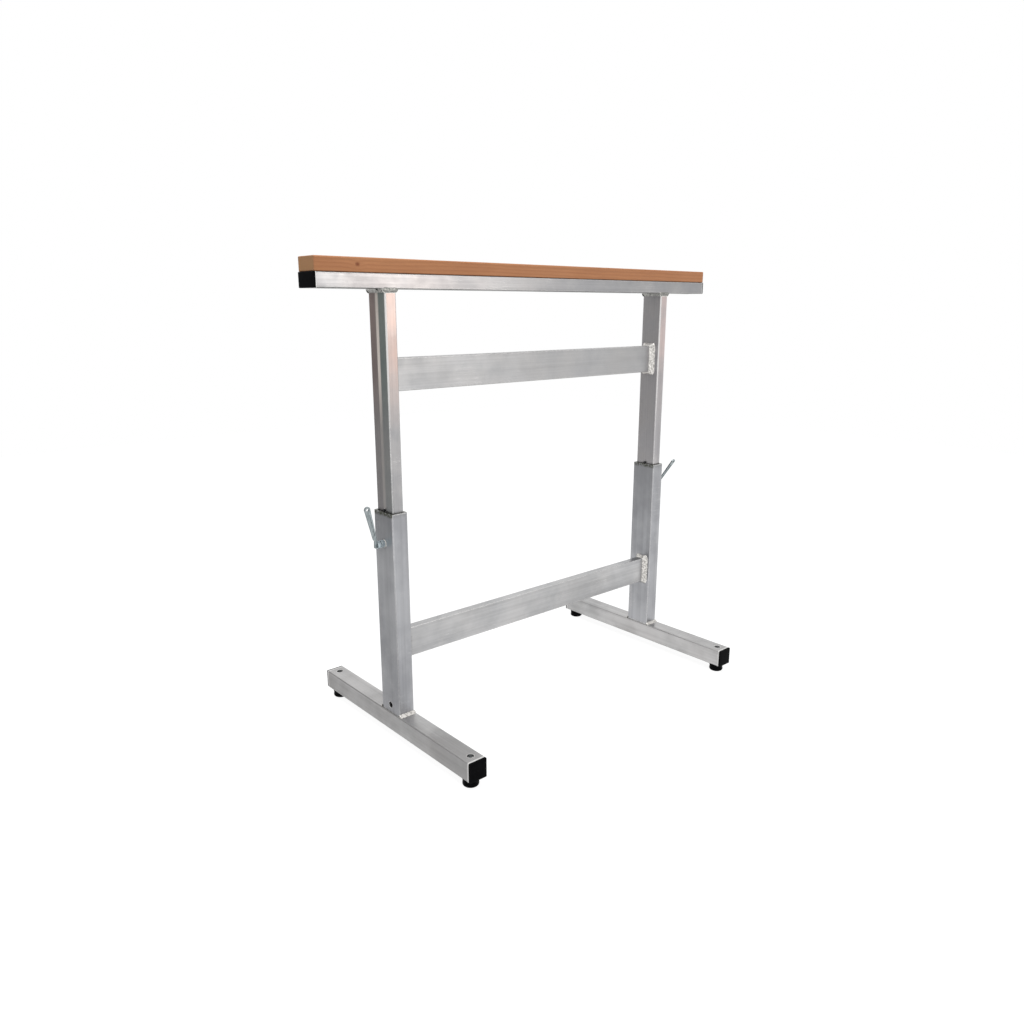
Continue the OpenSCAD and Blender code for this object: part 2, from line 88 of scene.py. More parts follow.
def makeCamera():
    data = bpy.data.cameras.new("photoCamera")
    data.sensor_fit = "AUTO"
    data.sensor_width = cameraLook["sensorWidth"]
    data.lens = cameraLook["lens"]
    data.shift_x, data.shift_y = cameraLook["shift"]
    eye = bpy.data.objects.new("photoCamera", data)
    turn = Matrix.Rotation(math.radians(-cameraLook["yaw"]), 4, "Z")
    tilt = Matrix.Rotation(math.radians(90 + cameraLook["pitch"]), 4, "X")
    eye.matrix_world = Matrix.Translation(cameraLook["place"]) @ turn @ tilt
    bpy.context.scene.collection.objects.link(eye)
    bpy.context.scene.camera = eye
    return eye


camera = makeCamera()
print("camera placed")


def imageFrame():
    # in pixels: where the lens looks in the frame, and how deep the lens lies behind it
    size = cameraLook["imageSize"]
    shiftX, shiftY = cameraLook["shift"]
    depth = size * cameraLook["lens"] / cameraLook["sensorWidth"]
    return size / 2 - shiftX * size, size / 2 + shiftY * size, depth


def rayThrough(point):
    middleX, middleY, depth = imageFrame()
    aim = Vector((point[0] - middleX, middleY - point[1], -depth))
    return camera.matrix_world.translation, (camera.matrix_world.to_3x3() @ aim).normalized()


def showsAt(place):
    middleX, middleY, depth = imageFrame()
    seen = camera.matrix_world.inverted() @ place
    return middleX - depth * seen.x / seen.z, middleY + depth * seen.y / seen.z


def surfaceTree(pieces):
    corners = []
    faces = []
    for piece in pieces:
        start = len(corners)
        corners += [piece.matrix_world @ v.co for v in piece.data.vertices]
        faces += [[start + i for i in face.vertices] for face in piece.data.polygons]
    return BVHTree.FromPolygons(corners, faces)


def placeOn(point, tree):
    # a miss takes the place nearest the ray, looked for between 0.8 and 2.8 from the camera
    origin, aim = rayThrough(point)
    place = tree.ray_cast(origin, aim)[0]
    if place is None:
        reach = [tree.find_nearest(origin + aim * (0.8 + 0.004 * step)) for step in range(500)]
        place = min(reach, key=lambda hit: hit[3])[0]
    return place


# Shader helpers
def setSocket(tree, socket, value):
    if isinstance(value, bpy.types.NodeSocket):
        tree.links.new(value, socket)
    else:
        socket.default_value = value


def addNode(tree, kind, inputs=None, **settings):
    node = tree.nodes.new("ShaderNode" + kind)
    for name, value in settings.items():
        setattr(node, name, value)
    for name, value in (inputs or {}).items():
        setSocket(tree, node.inputs[name], value)
    return node


def mixColour(tree, factor, first, second, blend="MIX"):
    mixed = addNode(tree, "Mix", {0: factor, 6: first, 7: second}, data_type="RGBA", blend_type=blend)
    return mixed.outputs[2]


def maths(tree, operation, first, second=0.0):
    return addNode(tree, "Math", {0: first, 1: second}, operation=operation).outputs[0]


def times(tree, first, second):
    return maths(tree, "MULTIPLY", first, second)


def vectorMaths(tree, operation, *inputs):
    node = addNode(tree, "VectorMath", dict(enumerate(inputs)), operation=operation)
    return node.outputs["Value" if operation in ("DOT_PRODUCT", "DISTANCE", "LENGTH") else "Vector"]


def remap(tree, value, low, high, toLow=0.0, toHigh=1.0):
    inputs = {"Value": value, "From Min": low, "From Max": high, "To Min": toLow, "To Max": toHigh}
    return addNode(tree, "MapRange", inputs, clamp=True).outputs["Result"]


def overlay(tree, tone, mask, over, share=1.0):
    # lays a colour over the tone where the mask is 1
    return mixColour(tree, mask if share == 1.0 else times(tree, mask, share), tone, over)


def noiseAt(tree, where, scale, detail):
    return addNode(tree, "TexNoise", {"Vector": where, "Scale": scale, "Detail": detail}).outputs["Fac"]


def stretched(tree, where, scale):
    return addNode(tree, "Mapping", {"Vector": where, "Scale": scale}).outputs["Vector"]


def partsOf(tree, vector):
    return addNode(tree, "SeparateXYZ", {"Vector": vector}).outputs


def facingOf(tree):
    return partsOf(tree, addNode(tree, "NewGeometry").outputs["Normal"])


def colour(red, green, blue):
    # given as the photograph's 0 to 255 values
    def straight(part):
        part /= 255
        return part / 12.92 if part <= 0.04045 else ((part + 0.055) / 1.055) ** 2.4
    return straight(red), straight(green), straight(blue), 1.0


def newGroup(name, output="Mask", **floats):
    group = bpy.data.node_groups.new(name, "ShaderNodeTree")
    group.interface.new_socket(name="Vector", in_out="INPUT", socket_type="NodeSocketVector")
    for label, value in floats.items():
        socket = group.interface.new_socket(name=label, in_out="INPUT", socket_type="NodeSocketFloat")
        socket.default_value = value
    group.interface.new_socket(name=output, in_out="OUTPUT", socket_type="NodeSocketFloat")
    return group, group.nodes.new("NodeGroupInput").outputs, group.nodes.new("NodeGroupOutput").inputs[0]


def makeDrawnLines():
    # faint lines that run along the drawn or sawn direction: the vector comes in stretched that way
    group, given, result = newGroup("drawnLines", "Lines", Scale=1.0)
    wide = noiseAt(group, given["Vector"], given["Scale"], 3.0)
    fine = noiseAt(group, given["Vector"], times(group, given["Scale"], 4.3), 2.0)
    both = maths(group, "ADD", times(group, wide, 0.6), times(group, fine, 0.4))
    group.links.new(remap(group, both, 0.36, 0.64), result)
    return group


def makeMottle():
    # soft clouds, from 0 to 1 between the two edges
    group, given, result = newGroup("mottle", Scale=10.0, Low=0.4, High=0.6)
    clouds = addNode(group, "TexNoise", {
        "Vector": given["Vector"], "Scale": given["Scale"], "Detail": 4.0, "Roughness": 0.6})
    inputs = {"Value": clouds.outputs["Fac"], "From Min": given["Low"], "From Max": given["High"]}
    spread = addNode(group, "MapRange", inputs, interpolation_type="SMOOTHSTEP")
    group.links.new(spread.outputs["Result"], result)
    return group


def makeEdgeWear():
    # 1 along edges that stand out, broken up by small noise
    group, given, result = newGroup("edgeWear", Radius=0.001, Scale=300.0)
    rounded = addNode(group, "Bevel", {"Radius": given["Radius"]}, samples=4)
    flat = addNode(group, "NewGeometry")
    match = vectorMaths(group, "DOT_PRODUCT", rounded.outputs["Normal"], flat.outputs["Normal"])
    patches = noiseAt(group, given["Vector"], given["Scale"], 3.0)
    broken = times(group, maths(group, "SUBTRACT", 1.0, match), remap(group, patches, 0.3, 0.6, 0.5, 1.6))
    group.links.new(remap(group, broken, 0.01, 0.12), result)
    return group


def makeHollowShade():
    # painted shade: 1 in inside corners and where pieces meet, uneven
    group, given, result = newGroup("grime", Distance=0.004, Scale=150.0)
    shade = addNode(group, "AmbientOcclusion", {"Distance": given["Distance"]}, samples=6)
    hidden = maths(group, "SUBTRACT", 1.0, shade.outputs["AO"])
    patches = noiseAt(group, given["Vector"], given["Scale"], 3.0)
    uneven = times(group, hidden, remap(group, patches, 0.3, 0.7, 0.6, 1.4))
    group.links.new(remap(group, uneven, 0.12, 0.7), result)
    return group


def makeDust():
    # 1 on patches of what faces up
    group, given, result = newGroup("dust", Scale=60.0, Amount=0.5)
    patches = remap(group, noiseAt(group, given["Vector"], given["Scale"], 5.0), 0.45, 0.7)
    lying = times(group, patches, remap(group, facingOf(group)["Z"], 0.5, 0.95))
    group.links.new(times(group, lying, given["Amount"]), result)
    return group


def makeScratches():
    # a few thin lines in two slanting directions, here and there on the surface
    group, given, result = newGroup("scratches", Scale=20.0)
    masks = []
    for slant in ((0.5, 0.9, 0.3), (-0.8, 0.2, 0.9)):
        inputs = {"Vector": given["Vector"], "Rotation": slant, "Scale": (1.0, 30.0, 30.0)}
        aimed = addNode(group, "Mapping", inputs).outputs["Vector"]
        veins = noiseAt(group, aimed, given["Scale"], 1.0)
        offMiddle = maths(group, "ABSOLUTE", maths(group, "SUBTRACT", veins, 0.5))
        masks.append(remap(group, offMiddle, 0.0, 0.012, 1.0, 0.0))
    places = remap(group, noiseAt(group, given["Vector"], 14.0, 2.0), 0.54, 0.66)
    group.links.new(times(group, maths(group, "MAXIMUM", *masks), places), result)
    return group


shaderGroup = {
    "scratches": makeScratches(),
    "drawnLines": makeDrawnLines(),
    "mottle": makeMottle(),
    "edgeWear": makeEdgeWear(),
    "grime": makeHollowShade(),
    "dust": makeDust(),
}


def effect(tree, name, where, **inputs):
    return addNode(tree, "Group", {"Vector": where, **inputs}, node_tree=shaderGroup[name]).outputs[0]


def newMaterial(name, **constants):
    material = bpy.data.materials.new(name)
    material.use_nodes = True
    tree = material.node_tree
    shader = tree.nodes["Principled BSDF"]
    for socket, value in constants.items():
        shader.inputs[socket.replace("_", " ")].default_value = value
    return material, tree, shader, addNode(tree, "TexCoord").outputs["Object"]


def dress(tree, shader, tone, roughness, height, depth):
    relief = addNode(tree, "Bump", {"Height": height, "Distance": depth, "Strength": 1.0})
    tree.links.new(tone, shader.inputs["Base Color"])
    tree.links.new(roughness, shader.inputs["Roughness"])
    tree.links.new(relief.outputs["Normal"], shader.inputs["Normal"])


# Mill-finish aluminium, drawn along one axis
aluminiumLook = {
    "worn": colour(240, 239, 237),
    "wearReach": 0.0026,
    "grime": colour(66, 66, 64),
    "grimeReach": 0.006,
    "clouds": {"Scale": 9.0, "Low": 0.35, "High": 0.65},
    "tintPatches": {"Scale": 5.0, "Low": 0.3, "High": 0.7},
    "stretch": (5.0, 420.0),  # of the die lines, along the drawn axis and across it
    "lines": {"Scale": 0.8},
    "bands": {"Scale": 0.16, "Low": 0.3, "High": 0.7},
    "lineTone": 0.2,  # share of the brightness that the die lines take
    "lineDepth": 0.00003,
    "dents": {"scale": 260.0, "detail": 4.0},
    "under": 0.75,  # how dark the undersides are
    "roughness": (0.44, 0.28),
    "scratches": {"Scale": 12.0},
    "scratch": 0.3,
    "dust": {"Amount": 0.2},
    "rubTone": colour(255, 244, 234),
    "rubReach": 0.0056,  # half the stripe that the clamp rubs
    "rubBreaks": {"Scale": 0.3, "Low": 0.3, "High": 0.6},
    "rubFade": (0.6, 0.7),  # the heights between which it grows strong
    "rubFaint": 0.22,  # how strong it is below them
    "gleam": (0.0026, 0.0034),  # where the bright strip beside the front corner ends
    "rimTone": colour(84, 86, 72),
    "smears": {"Scale": 240.0, "Low": 0.3, "High": 0.6},
    "cutStrip": 0.7,
}

# warmFrom: an axis, where the painted reflection tint on front faces begins and where it is full
# tinge: the painted reflection colours of the outer face's near and far half; cutEnd: an axis, and how far
# out the sawn end begins, where a highlight is painted
# painted light and shade: the kinds' pale and dull tones are lighter and darker copies of one aluminium, the
# right upright paler than the left and the sleeves darker
aluminiumKinds = {
    "beam": {"along": "x", "pale": colour(188, 187, 187), "dull": colour(168, 168, 170),
             "tint": colour(206, 196, 192), "share": 0.5, "warmFrom": ("X", 0.1, -0.35),
             "cutEnd": ("X", 0.4948)},
    "rail": {"along": "x", "pale": colour(196, 196, 197), "dull": colour(176, 177, 179),
             "tint": colour(196, 192, 188), "share": 0.3},
    "leftUpright": {"along": "z", "pale": colour(182, 180, 180), "dull": colour(162, 162, 164),
                    "tint": colour(210, 182, 170), "share": 0.85, "warmFrom": ("Z", 0.6, 0.72),
                    "tinge": (colour(222, 238, 232), colour(248, 228, 222)), "rubbed": "left_upright"},
    "rightUpright": {"along": "z", "pale": colour(200, 197, 197), "dull": colour(182, 180, 182),
                     "tint": colour(246, 220, 214), "share": 0.85, "warmFrom": ("Z", 0.56, 0.68),
                     "tinge": (colour(244, 246, 245), colour(248, 246, 245)), "rubbed": "right_upright"},
    "sleeve": {"along": "z", "pale": colour(179, 180, 183), "dull": colour(160, 161, 165),
               "tint": colour(168, 168, 171), "share": 0.4, "rim": 0.009},
    "foot": {"along": "y", "pale": colour(197, 197, 197), "dull": colour(174, 174, 174),
             "tint": colour(186, 180, 178), "share": 0.3, "cutEnd": ("Y", 0.2412),
             "grime": colour(30, 30, 30)},
}


def rubOuterFace(tree, tone, own, parts, facing, drawn):
    # the clamp's tip has rubbed a stripe up the middle of the upright's outer face; the outer face also gets
    # a painted reflection, in two colours across its near and far half, strongest up high
    look = aluminiumLook
    reach = look["rubReach"]
    middle = remap(tree, maths(tree, "ABSOLUTE", parts["Y"]), reach * 0.5, reach, 1.0, 0.0)
    broken = remap(tree, effect(tree, "mottle", drawn, **look["rubBreaks"]), 0.0, 1.0, 0.85, 1.0)
    fading = remap(tree, parts["Z"], *look["rubFade"], look["rubFaint"], 1.0)
    outward = remap(tree, times(tree, facing["X"], parts["X"]), 0.2, 0.3)
    # painted reflection: the outer face is tinted in two colours, near half and far half
    tinge = mixColour(tree, remap(tree, parts["Y"], -0.008, 0.008), *own["tinge"])
    reflectionTinted = mixColour(tree, 1.0, tone, tinge, "MULTIPLY")
    tone = overlay(tree, tone, times(tree, outward, fading), reflectionTinted)
    rubbed = times(tree, times(tree, times(tree, middle, fading), broken), outward)
    return overlay(tree, tone, rubbed, look["rubTone"]), rubbed


def makeAluminium(kind):
    look = aluminiumLook
    own = aluminiumKinds[kind]
    material, tree, shader, where = newMaterial("aluminium_" + kind, Metallic=1.0)
    parts = partsOf(tree, where)
    facing = facingOf(tree)
    along, across = look["stretch"]
    drawn = stretched(tree, where, tuple(along if axis == own["along"] else across for axis in "xyz"))
    lines = effect(tree, "drawnLines", drawn, **look["lines"])
    clouds = effect(tree, "mottle", where, **look["clouds"])
    tone = mixColour(tree, clouds, own["dull"], own["pale"])
    soft = effect(tree, "mottle", where, **look["tintPatches"])
    # painted reflection: the tint patches are kept to front faces and grow along the given axis
    if "warmFrom" in own:
        axis, start, end = own["warmFrom"]
        frontReflection = times(tree, remap(tree, parts[axis], start, end), remap(tree, facing["Y"], -0.3, -0.8))
        soft = times(tree, soft, frontReflection)
    tone = overlay(tree, tone, soft, own["tint"], own["share"])
    rubAndHighlight = None
    if "rubbed" in own:
        tone, rubAndHighlight = rubOuterFace(tree, tone, own, parts, facing, drawn)
    bands = effect(tree, "mottle", drawn, **look["bands"])
    lines = maths(tree, "ADD", times(tree, lines, 0.5), times(tree, bands, 0.5))
    lineShade = remap(tree, lines, 0.0, 1.0, 1.0 - look["lineTone"], 1.0)
    shade = addNode(tree, "CombineXYZ", {axis: lineShade for axis in "XYZ"}).outputs["Vector"]
    tone = mixColour(tree, 1.0, tone, shade, "MULTIPLY")
    scratches = effect(tree, "scratches", where, **look["scratches"])
    tone = overlay(tree, tone, scratches, look["worn"], look["scratch"])
    # painted shade: the inside corners and the places where pieces meet are darkened
    grime = effect(tree, "grime", where, Distance=look["grimeReach"])
    tone = overlay(tree, tone, grime, own.get("grime", look["grime"]))
    # edge wear and painted highlight: the edges are painted bright
    tone = overlay(tree, tone, effect(tree, "edgeWear", where, Radius=look["wearReach"]), look["worn"])
    if "rubbed" in own:
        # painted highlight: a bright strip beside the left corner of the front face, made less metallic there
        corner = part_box(own["rubbed"])[0].x
        near, far = look["gleam"]
        gleam = times(tree, remap(tree, parts["X"], corner + near, corner + far, 1.0, 0.0), frontReflection)
        tone = overlay(tree, tone, gleam, look["worn"])
        rubAndHighlight = maths(tree, "MAXIMUM", rubAndHighlight, gleam)
    # painted shade: faces that look down are darkened, by the share under
    tone = overlay(tree, tone, remap(tree, facing["Z"], -0.2, -0.6, 0.0, look["under"]), look["grime"])
    if "cutEnd" in own:
        # painted highlight: a bright strip on the sawn end beside the cap, made less metallic there
        axis, start = own["cutEnd"]
        rubAndHighlight = remap(tree, maths(tree, "ABSOLUTE", parts[axis]), start, start + 0.0004)
        tone = overlay(tree, tone, rubAndHighlight, look["worn"], look["cutStrip"])
    if "rim" in own:
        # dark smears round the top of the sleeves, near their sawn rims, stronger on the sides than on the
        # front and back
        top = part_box("left_sleeve")[1].z
        near = remap(tree, parts["Z"], top - own["rim"], top - own["rim"] * 0.5)
        smear = effect(tree, "mottle", where, **look["smears"])
        sideways = remap(tree, maths(tree, "ABSOLUTE", facing["Y"]), 0.5, 0.8, 1.0, 0.2)
        tone = overlay(tree, tone, times(tree, times(tree, near, smear), sideways), look["rimTone"])
    tone = overlay(tree, tone, effect(tree, "dust", where, **look["dust"]), own["dull"])
    if rubAndHighlight is not None:
        tree.links.new(remap(tree, rubAndHighlight, 0.0, 1.0, 1.0, 0.1), shader.inputs["Metallic"])
    dull = times(tree, maths(tree, "ADD", clouds, lines), 0.5)
    rough = remap(tree, dull, 0.2, 0.8, *look["roughness"])
    height = maths(tree, "ADD", lines, times(tree, noiseAt(tree, where, **look["dents"]), 0.5))
    dress(tree, shader, tone, rough, maths(tree, "SUBTRACT", height, scratches), look["lineDepth"])
    return material


aluminium = {kind: makeAluminium(kind) for kind in aluminiumKinds}


weldLook = {
    "pale": colour(226, 223, 219),
    "dull": colour(160, 158, 154),
    "clouds": {"Scale": 300.0, "Low": 0.34, "High": 0.64},
    "soot": colour(58, 56, 50),
    "sootPatches": {"Scale": 190.0, "Low": 0.6, "High": 0.74},
    "sootShare": 0.22,
    "hollow": 0.001,
    "hollowShare": 0.3,
    "smoke": colour(106, 109, 106),
    "smokeFrom": (0.81, 0.82),  # only the beads under the beam are smoked
    "speckle": {"Scale": 700.0, "Low": 0.3, "High": 0.6},
    "speckleShare": (0.3, 0.85),
    "burn": colour(14, 14, 12),
    "worn": colour(235, 233, 228),
    "wear": 0.0008,
    "pitReach": (0.00288, 0.0054),  # where the dark tone painted in the pit, burn and painted shade, starts to fade, and where it ends
    "roughness": (0.5, 0.26),
    "grain": {"scale": 900.0, "detail": 4.0},
    "grainDepth": 0.0001,
}


def makeWeldMetal(name, pit=None):
    look = weldLook
    material, tree, shader, where = newMaterial(name, Metallic=1.0)
    clouds = effect(tree, "mottle", where, **look["clouds"])
    tone = mixColour(tree, clouds, look["dull"], look["pale"])
    speckle = remap(tree, effect(tree, "mottle", where, **look["speckle"]), 0.0, 1.0, *look["speckleShare"])
    high = remap(tree, partsOf(tree, where)["Z"], *look["smokeFrom"])
    tone = overlay(tree, tone, times(tree, high, speckle), look["smoke"])
    soot = effect(tree, "mottle", where, **look["sootPatches"])
    tone = overlay(tree, tone, soot, look["soot"], look["sootShare"])
    # painted shade: the bead's hollows are darkened in the soot colour
    weldHollowShade = effect(tree, "grime", where, Distance=look["hollow"])
    tone = overlay(tree, tone, weldHollowShade, look["soot"], look["hollowShare"])
    tone = overlay(tree, tone, effect(tree, "edgeWear", where, Radius=look["wear"]), look["worn"])
    if pit is not None:
        # burn and painted shade: the pit is painted near black
        fromPit = vectorMaths(tree, "DISTANCE", where, pit)
        tone = overlay(tree, tone, remap(tree, fromPit, *look["pitReach"], 1.0, 0.0), look["burn"])
    rough = remap(tree, clouds, 0.0, 1.0, *look["roughness"])
    dress(tree, shader, tone, rough, noiseAt(tree, where, **look["grain"]), look["grainDepth"])
    return material


# Plated or blackened steel; the plating is a little blue and shows fine lines
# hollow and wear: how far the painted shade reaches out of corners, and how wide the worn edges are
steelLook = {
    "brightZinc": {"metal": 1.0, "pale": colour(218, 228, 231), "dull": colour(168, 184, 190),
                   "worn": colour(240, 245, 247), "grime": colour(46, 50, 52), "roughness": (0.28, 0.14),
                   "lines": (700.0, 700.0, 40.0), "hollow": 0.0015, "wear": 0.0006},
    "leverZinc": {"metal": 1.0, "pale": colour(172, 180, 182), "dull": colour(132, 140, 142),
                  "worn": colour(108, 113, 114), "grime": colour(36, 38, 40), "roughness": (0.38, 0.24),
                  "lines": (420.0, 300.0, 60.0), "hollow": 0.0032, "wear": 0.0006},
    # stemZinc is nearly non-metallic, with its worn edges and hollows painted near black: painted shade for
    # the stems standing in the feet's holes
    "stemZinc": {"metal": 0.15, "pale": colour(196, 200, 202), "dull": colour(150, 154, 156),
                 "worn": colour(14, 14, 14), "grime": colour(16, 16, 16), "roughness": (0.4, 0.24),
                 "lines": (700.0, 700.0, 40.0), "hollow": 0.0012, "wear": 0.0022},
    "darkSteel": {"metal": 1.0, "pale": colour(44, 44, 46), "dull": colour(24, 24, 26),
                  "worn": colour(96, 96, 98), "grime": colour(10, 10, 10), "roughness": (0.5, 0.34),
                  "lines": (60.0, 600.0, 600.0), "hollow": 0.0015, "wear": 0.0006},
    "steelWeld": {"metal": 1.0, "pale": colour(150, 152, 156), "dull": colour(84, 84, 88),
                  "worn": colour(200, 204, 208), "grime": colour(40, 36, 34), "roughness": (0.5, 0.3),
                  "lines": (300.0, 300.0, 300.0), "hollow": 0.0015, "wear": 0.0006},
}
steelFinish = {"clouds": {"Scale": 60.0, "Low": 0.3, "High": 0.7}, "lineDepth": 0.00002}  # the same on all


def makeSteel(name):
    look = steelLook[name]
    material, tree, shader, where = newMaterial(name, Metallic=look["metal"])
    lines = effect(tree, "drawnLines", stretched(tree, where, look["lines"]), Scale=1.0)
    clouds = effect(tree, "mottle", where, **steelFinish["clouds"])
    tone = mixColour(tree, times(tree, maths(tree, "ADD", clouds, lines), 0.5), look["dull"], look["pale"])
    # painted shade: the inside corners are darkened
    tone = overlay(tree, tone, effect(tree, "grime", where, Distance=look["hollow"]), look["grime"])
    tone = overlay(tree, tone, effect(tree, "edgeWear", where, Radius=look["wear"]), look["worn"])
    rough = remap(tree, clouds, 0.0, 1.0, *look["roughness"])
    dress(tree, shader, tone, rough, lines, steelFinish["lineDepth"])
    return material


steel = {name: makeSteel(name) for name in steelLook}


plasticLook = {
    "dark": colour(7, 7, 9),
    "pale": colour(15, 15, 17),
    "clouds": {"Scale": 70.0, "Low": 0.35, "High": 0.7},
    "scuff": colour(44, 44, 44),
    "scuffShare": 0.5,
    "wear": {"Radius": 0.0006, "Scale": 500.0},
    "dust": {"Scale": 200.0, "Amount": 0.3},
    "roughness": (0.34, 0.5),
    "grain": 1600.0,
    "grainDepth": 0.00002,
}


def makePlastic():
    look = plasticLook
    material, tree, shader, where = newMaterial("blackPlastic", Specular_IOR_Level=0.02)
    clouds = effect(tree, "mottle", where, **look["clouds"])
    tone = mixColour(tree, clouds, look["dark"], look["pale"])
    wear = effect(tree, "edgeWear", where, **look["wear"])
    tone = overlay(tree, tone, wear, look["scuff"], look["scuffShare"])
    tone = overlay(tree, tone, effect(tree, "dust", where, **look["dust"]), look["scuff"])
    grain = addNode(tree, "TexVoronoi", {"Vector": where, "Scale": look["grain"]}).outputs["Distance"]
    dress(tree, shader, tone, remap(tree, clouds, 0.0, 1.0, *look["roughness"]), grain, look["grainDepth"])
    return material


blackPlastic = makePlastic()


brassLook = {
    "pale": colour(196, 164, 100),
    "dull": colour(150, 116, 62),
    "clouds": {"Scale": 90.0, "Low": 0.4, "High": 0.65},
    "grime": colour(60, 44, 22),
    "hollow": 0.002,
    "roughness": (0.42, 0.25),
    "rings": (60.0, 60.0, 1500.0),  # the lathe's
    "ringDepth": 0.00003,
}


def makeBrass():
    look = brassLook
    material, tree, shader, where = newMaterial("turnedBrass", Metallic=1.0)
    clouds = effect(tree, "mottle", where, **look["clouds"])
    tone = mixColour(tree, clouds, look["dull"], look["pale"])
    # painted shade: the inside corners are darkened
    tone = overlay(tree, tone, effect(tree, "grime", where, Distance=look["hollow"]), look["grime"])
    rings = effect(tree, "drawnLines", stretched(tree, where, look["rings"]), Scale=1.0)
    dress(tree, shader, tone, remap(tree, clouds, 0.0, 1.0, *look["roughness"]), rings, look["ringDepth"])
    return material


brass = makeBrass()


# Planed softwood with eased edges
timberLook = {
    "early": colour(202, 140, 96),
    "late": colour(168, 108, 68),
    "lateShare": 0.45,
    "clouds": {"Scale": 2.5, "Low": 0.35, "High": 0.7},
    "cloudShare": 0.35,
    "fibre": colour(168, 112, 72),
    "fibreShare": 0.35,
    "fibres": (14.0, 900.0, 900.0),  # how fine they are, along and across the grain
    "end": colour(186, 138, 94),
    "knot": colour(132, 72, 40),
    "crack": colour(60, 36, 22),
    "hollow": 0.004,
    "arris": colour(118, 70, 44),
    "arrisShare": 0.6,
    "wear": {"Radius": 0.0015, "Scale": 120.0},
    "pith": (0.0, 0.05, -0.065),  # of the tree's centre, from the batten's own middle
    "ringWidth": 0.0042,
    "slow": (2.2, 9.0, 9.0),  # how fast the rings wander, along and across the grain
    "wander": 0.012,
    "knotReach": (0.0052, 0.0038, 0.0038),  # along and across the grain
    "knotSwell": 0.0024,
    "roughness": (0.62, 0.48),
    "grainDepth": 0.00012,
}


def makeTimber(knotPlace, middle):
    look = timberLook
    material, tree, shader, where = newMaterial("planedTimber", Specular_IOR_Level=0.35)
    fromPith = vectorMaths(tree, "SUBTRACT", where, middle + Vector(look["pith"]))
    slow = stretched(tree, where, look["slow"])
    wander = addNode(tree, "TexNoise", {"Vector": slow, "Scale": 1.0, "Detail": 2.0}).outputs["Color"]
    bend = vectorMaths(tree, "SUBTRACT", wander, (0.5, 0.5, 0.5))
    bent = vectorMaths(tree, "ADD", fromPith, vectorMaths(tree, "MULTIPLY", bend, (look["wander"],) * 3))
    radius = vectorMaths(tree, "LENGTH", vectorMaths(tree, "MULTIPLY", bent, (0.0, 1.0, 1.0)))
    toKnot = vectorMaths(tree, "SUBTRACT", where, knotPlace)
    knotGap = vectorMaths(tree, "LENGTH", vectorMaths(tree, "DIVIDE", toKnot, look["knotReach"]))
    swell = times(tree, remap(tree, knotGap, 0.0, 3.5, 1.0, 0.0), look["knotSwell"])
    phase = maths(tree, "FRACT", maths(tree, "DIVIDE", maths(tree, "ADD", radius, swell), look["ringWidth"]))
    late = times(tree, remap(tree, phase, 0.35, 0.95), remap(tree, phase, 0.95, 1.0, 1.0, 0.0))
    fibre = effect(tree, "drawnLines", stretched(tree, where, look["fibres"]), Scale=1.0)
    clouds = effect(tree, "mottle", slow, **look["clouds"])
    tone = overlay(tree, look["early"], late, look["late"], look["lateShare"])
    tone = overlay(tree, tone, fibre, look["fibre"], look["fibreShare"])
    tone = overlay(tree, tone, clouds, look["late"], look["cloudShare"])
    endGrain = remap(tree, maths(tree, "ABSOLUTE", facingOf(tree)["X"]), 0.6, 0.8)
    tone = overlay(tree, tone, endGrain, overlay(tree, look["end"], late, look["crack"], 0.5))
    tone = overlay(tree, tone, remap(tree, knotGap, 0.35, 1.1, 0.9, 0.0), look["knot"])
    # painted shade: the hollows and the joint with the beam are darkened in the crack colour
    tone = overlay(tree, tone, effect(tree, "grime", where, Distance=look["hollow"]), look["crack"])
    wear = effect(tree, "edgeWear", where, **look["wear"])
    tone = overlay(tree, tone, wear, look["arris"], look["arrisShare"])
    height = maths(tree, "ADD", fibre, times(tree, late, 0.6))
    dress(tree, shader, tone, remap(tree, fibre, 0.0, 1.0, *look["roughness"]), height, look["grainDepth"])
    return material


print("materials ready")


# Pieces
sharpAngle = 38  # in degrees; flatter edges are shaded smooth and aren't eased


def boxOf(node):
    low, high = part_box(node)
    return low, high, (low + high) / 2


def toMesh(shape, name):
    bmesh.ops.remove_doubles(shape, verts=shape.verts[:], dist=1e-6)
    bmesh.ops.recalc_face_normals(shape, faces=shape.faces[:])
    mesh = bpy.data.meshes.new(name)
    shape.to_mesh(mesh)
    shape.free()
    for layer in ("custom_normal", "sharp_face"):
        if layer in mesh.attributes:
            mesh.attributes.remove(mesh.attributes[layer])
    mesh.shade_smooth()
    mesh.set_sharp_from_angle(angle=math.radians(sharpAngle))
    return mesh


def addPiece(shape, name, nodes, material, body=None):
    mesh = toMesh(shape, name)
    mesh.materials.clear()
    mesh.materials.append(material)
    piece = bpy.data.objects.new(name, mesh)
    bpy.context.scene.collection.objects.link(piece)
    flat = piece.modifiers.new("flatFaces", "WEIGHTED_NORMAL")
    flat.mode = "FACE_AREA"
    flat.keep_sharp = True
    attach(piece, body or bodyOf[nodes[0]])
    if nodes:
        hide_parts(*nodes)


def copyOf(node):
    shape = bmesh.new()
    shape.from_mesh(cadNode[node].data)
    bmesh.ops.remove_doubles(shape, verts=shape.verts[:], dist=1e-6)
    bmesh.ops.dissolve_limit(shape, angle_limit=math.radians(0.6), verts=shape.verts[:], edges=shape.edges[:])
    return shape


def easeEdges(shape, width, over=sharpAngle):
    sharp = [e for e in shape.edges if len(e.link_faces) == 2 and e.calc_face_angle(0) > math.radians(over)]
    bmesh.ops.bevel(shape, geom=sharp, offset=width, offset_type="OFFSET", segments=2, profile=0.5,
                    affect="EDGES", material=-1, clamp_overlap=True)


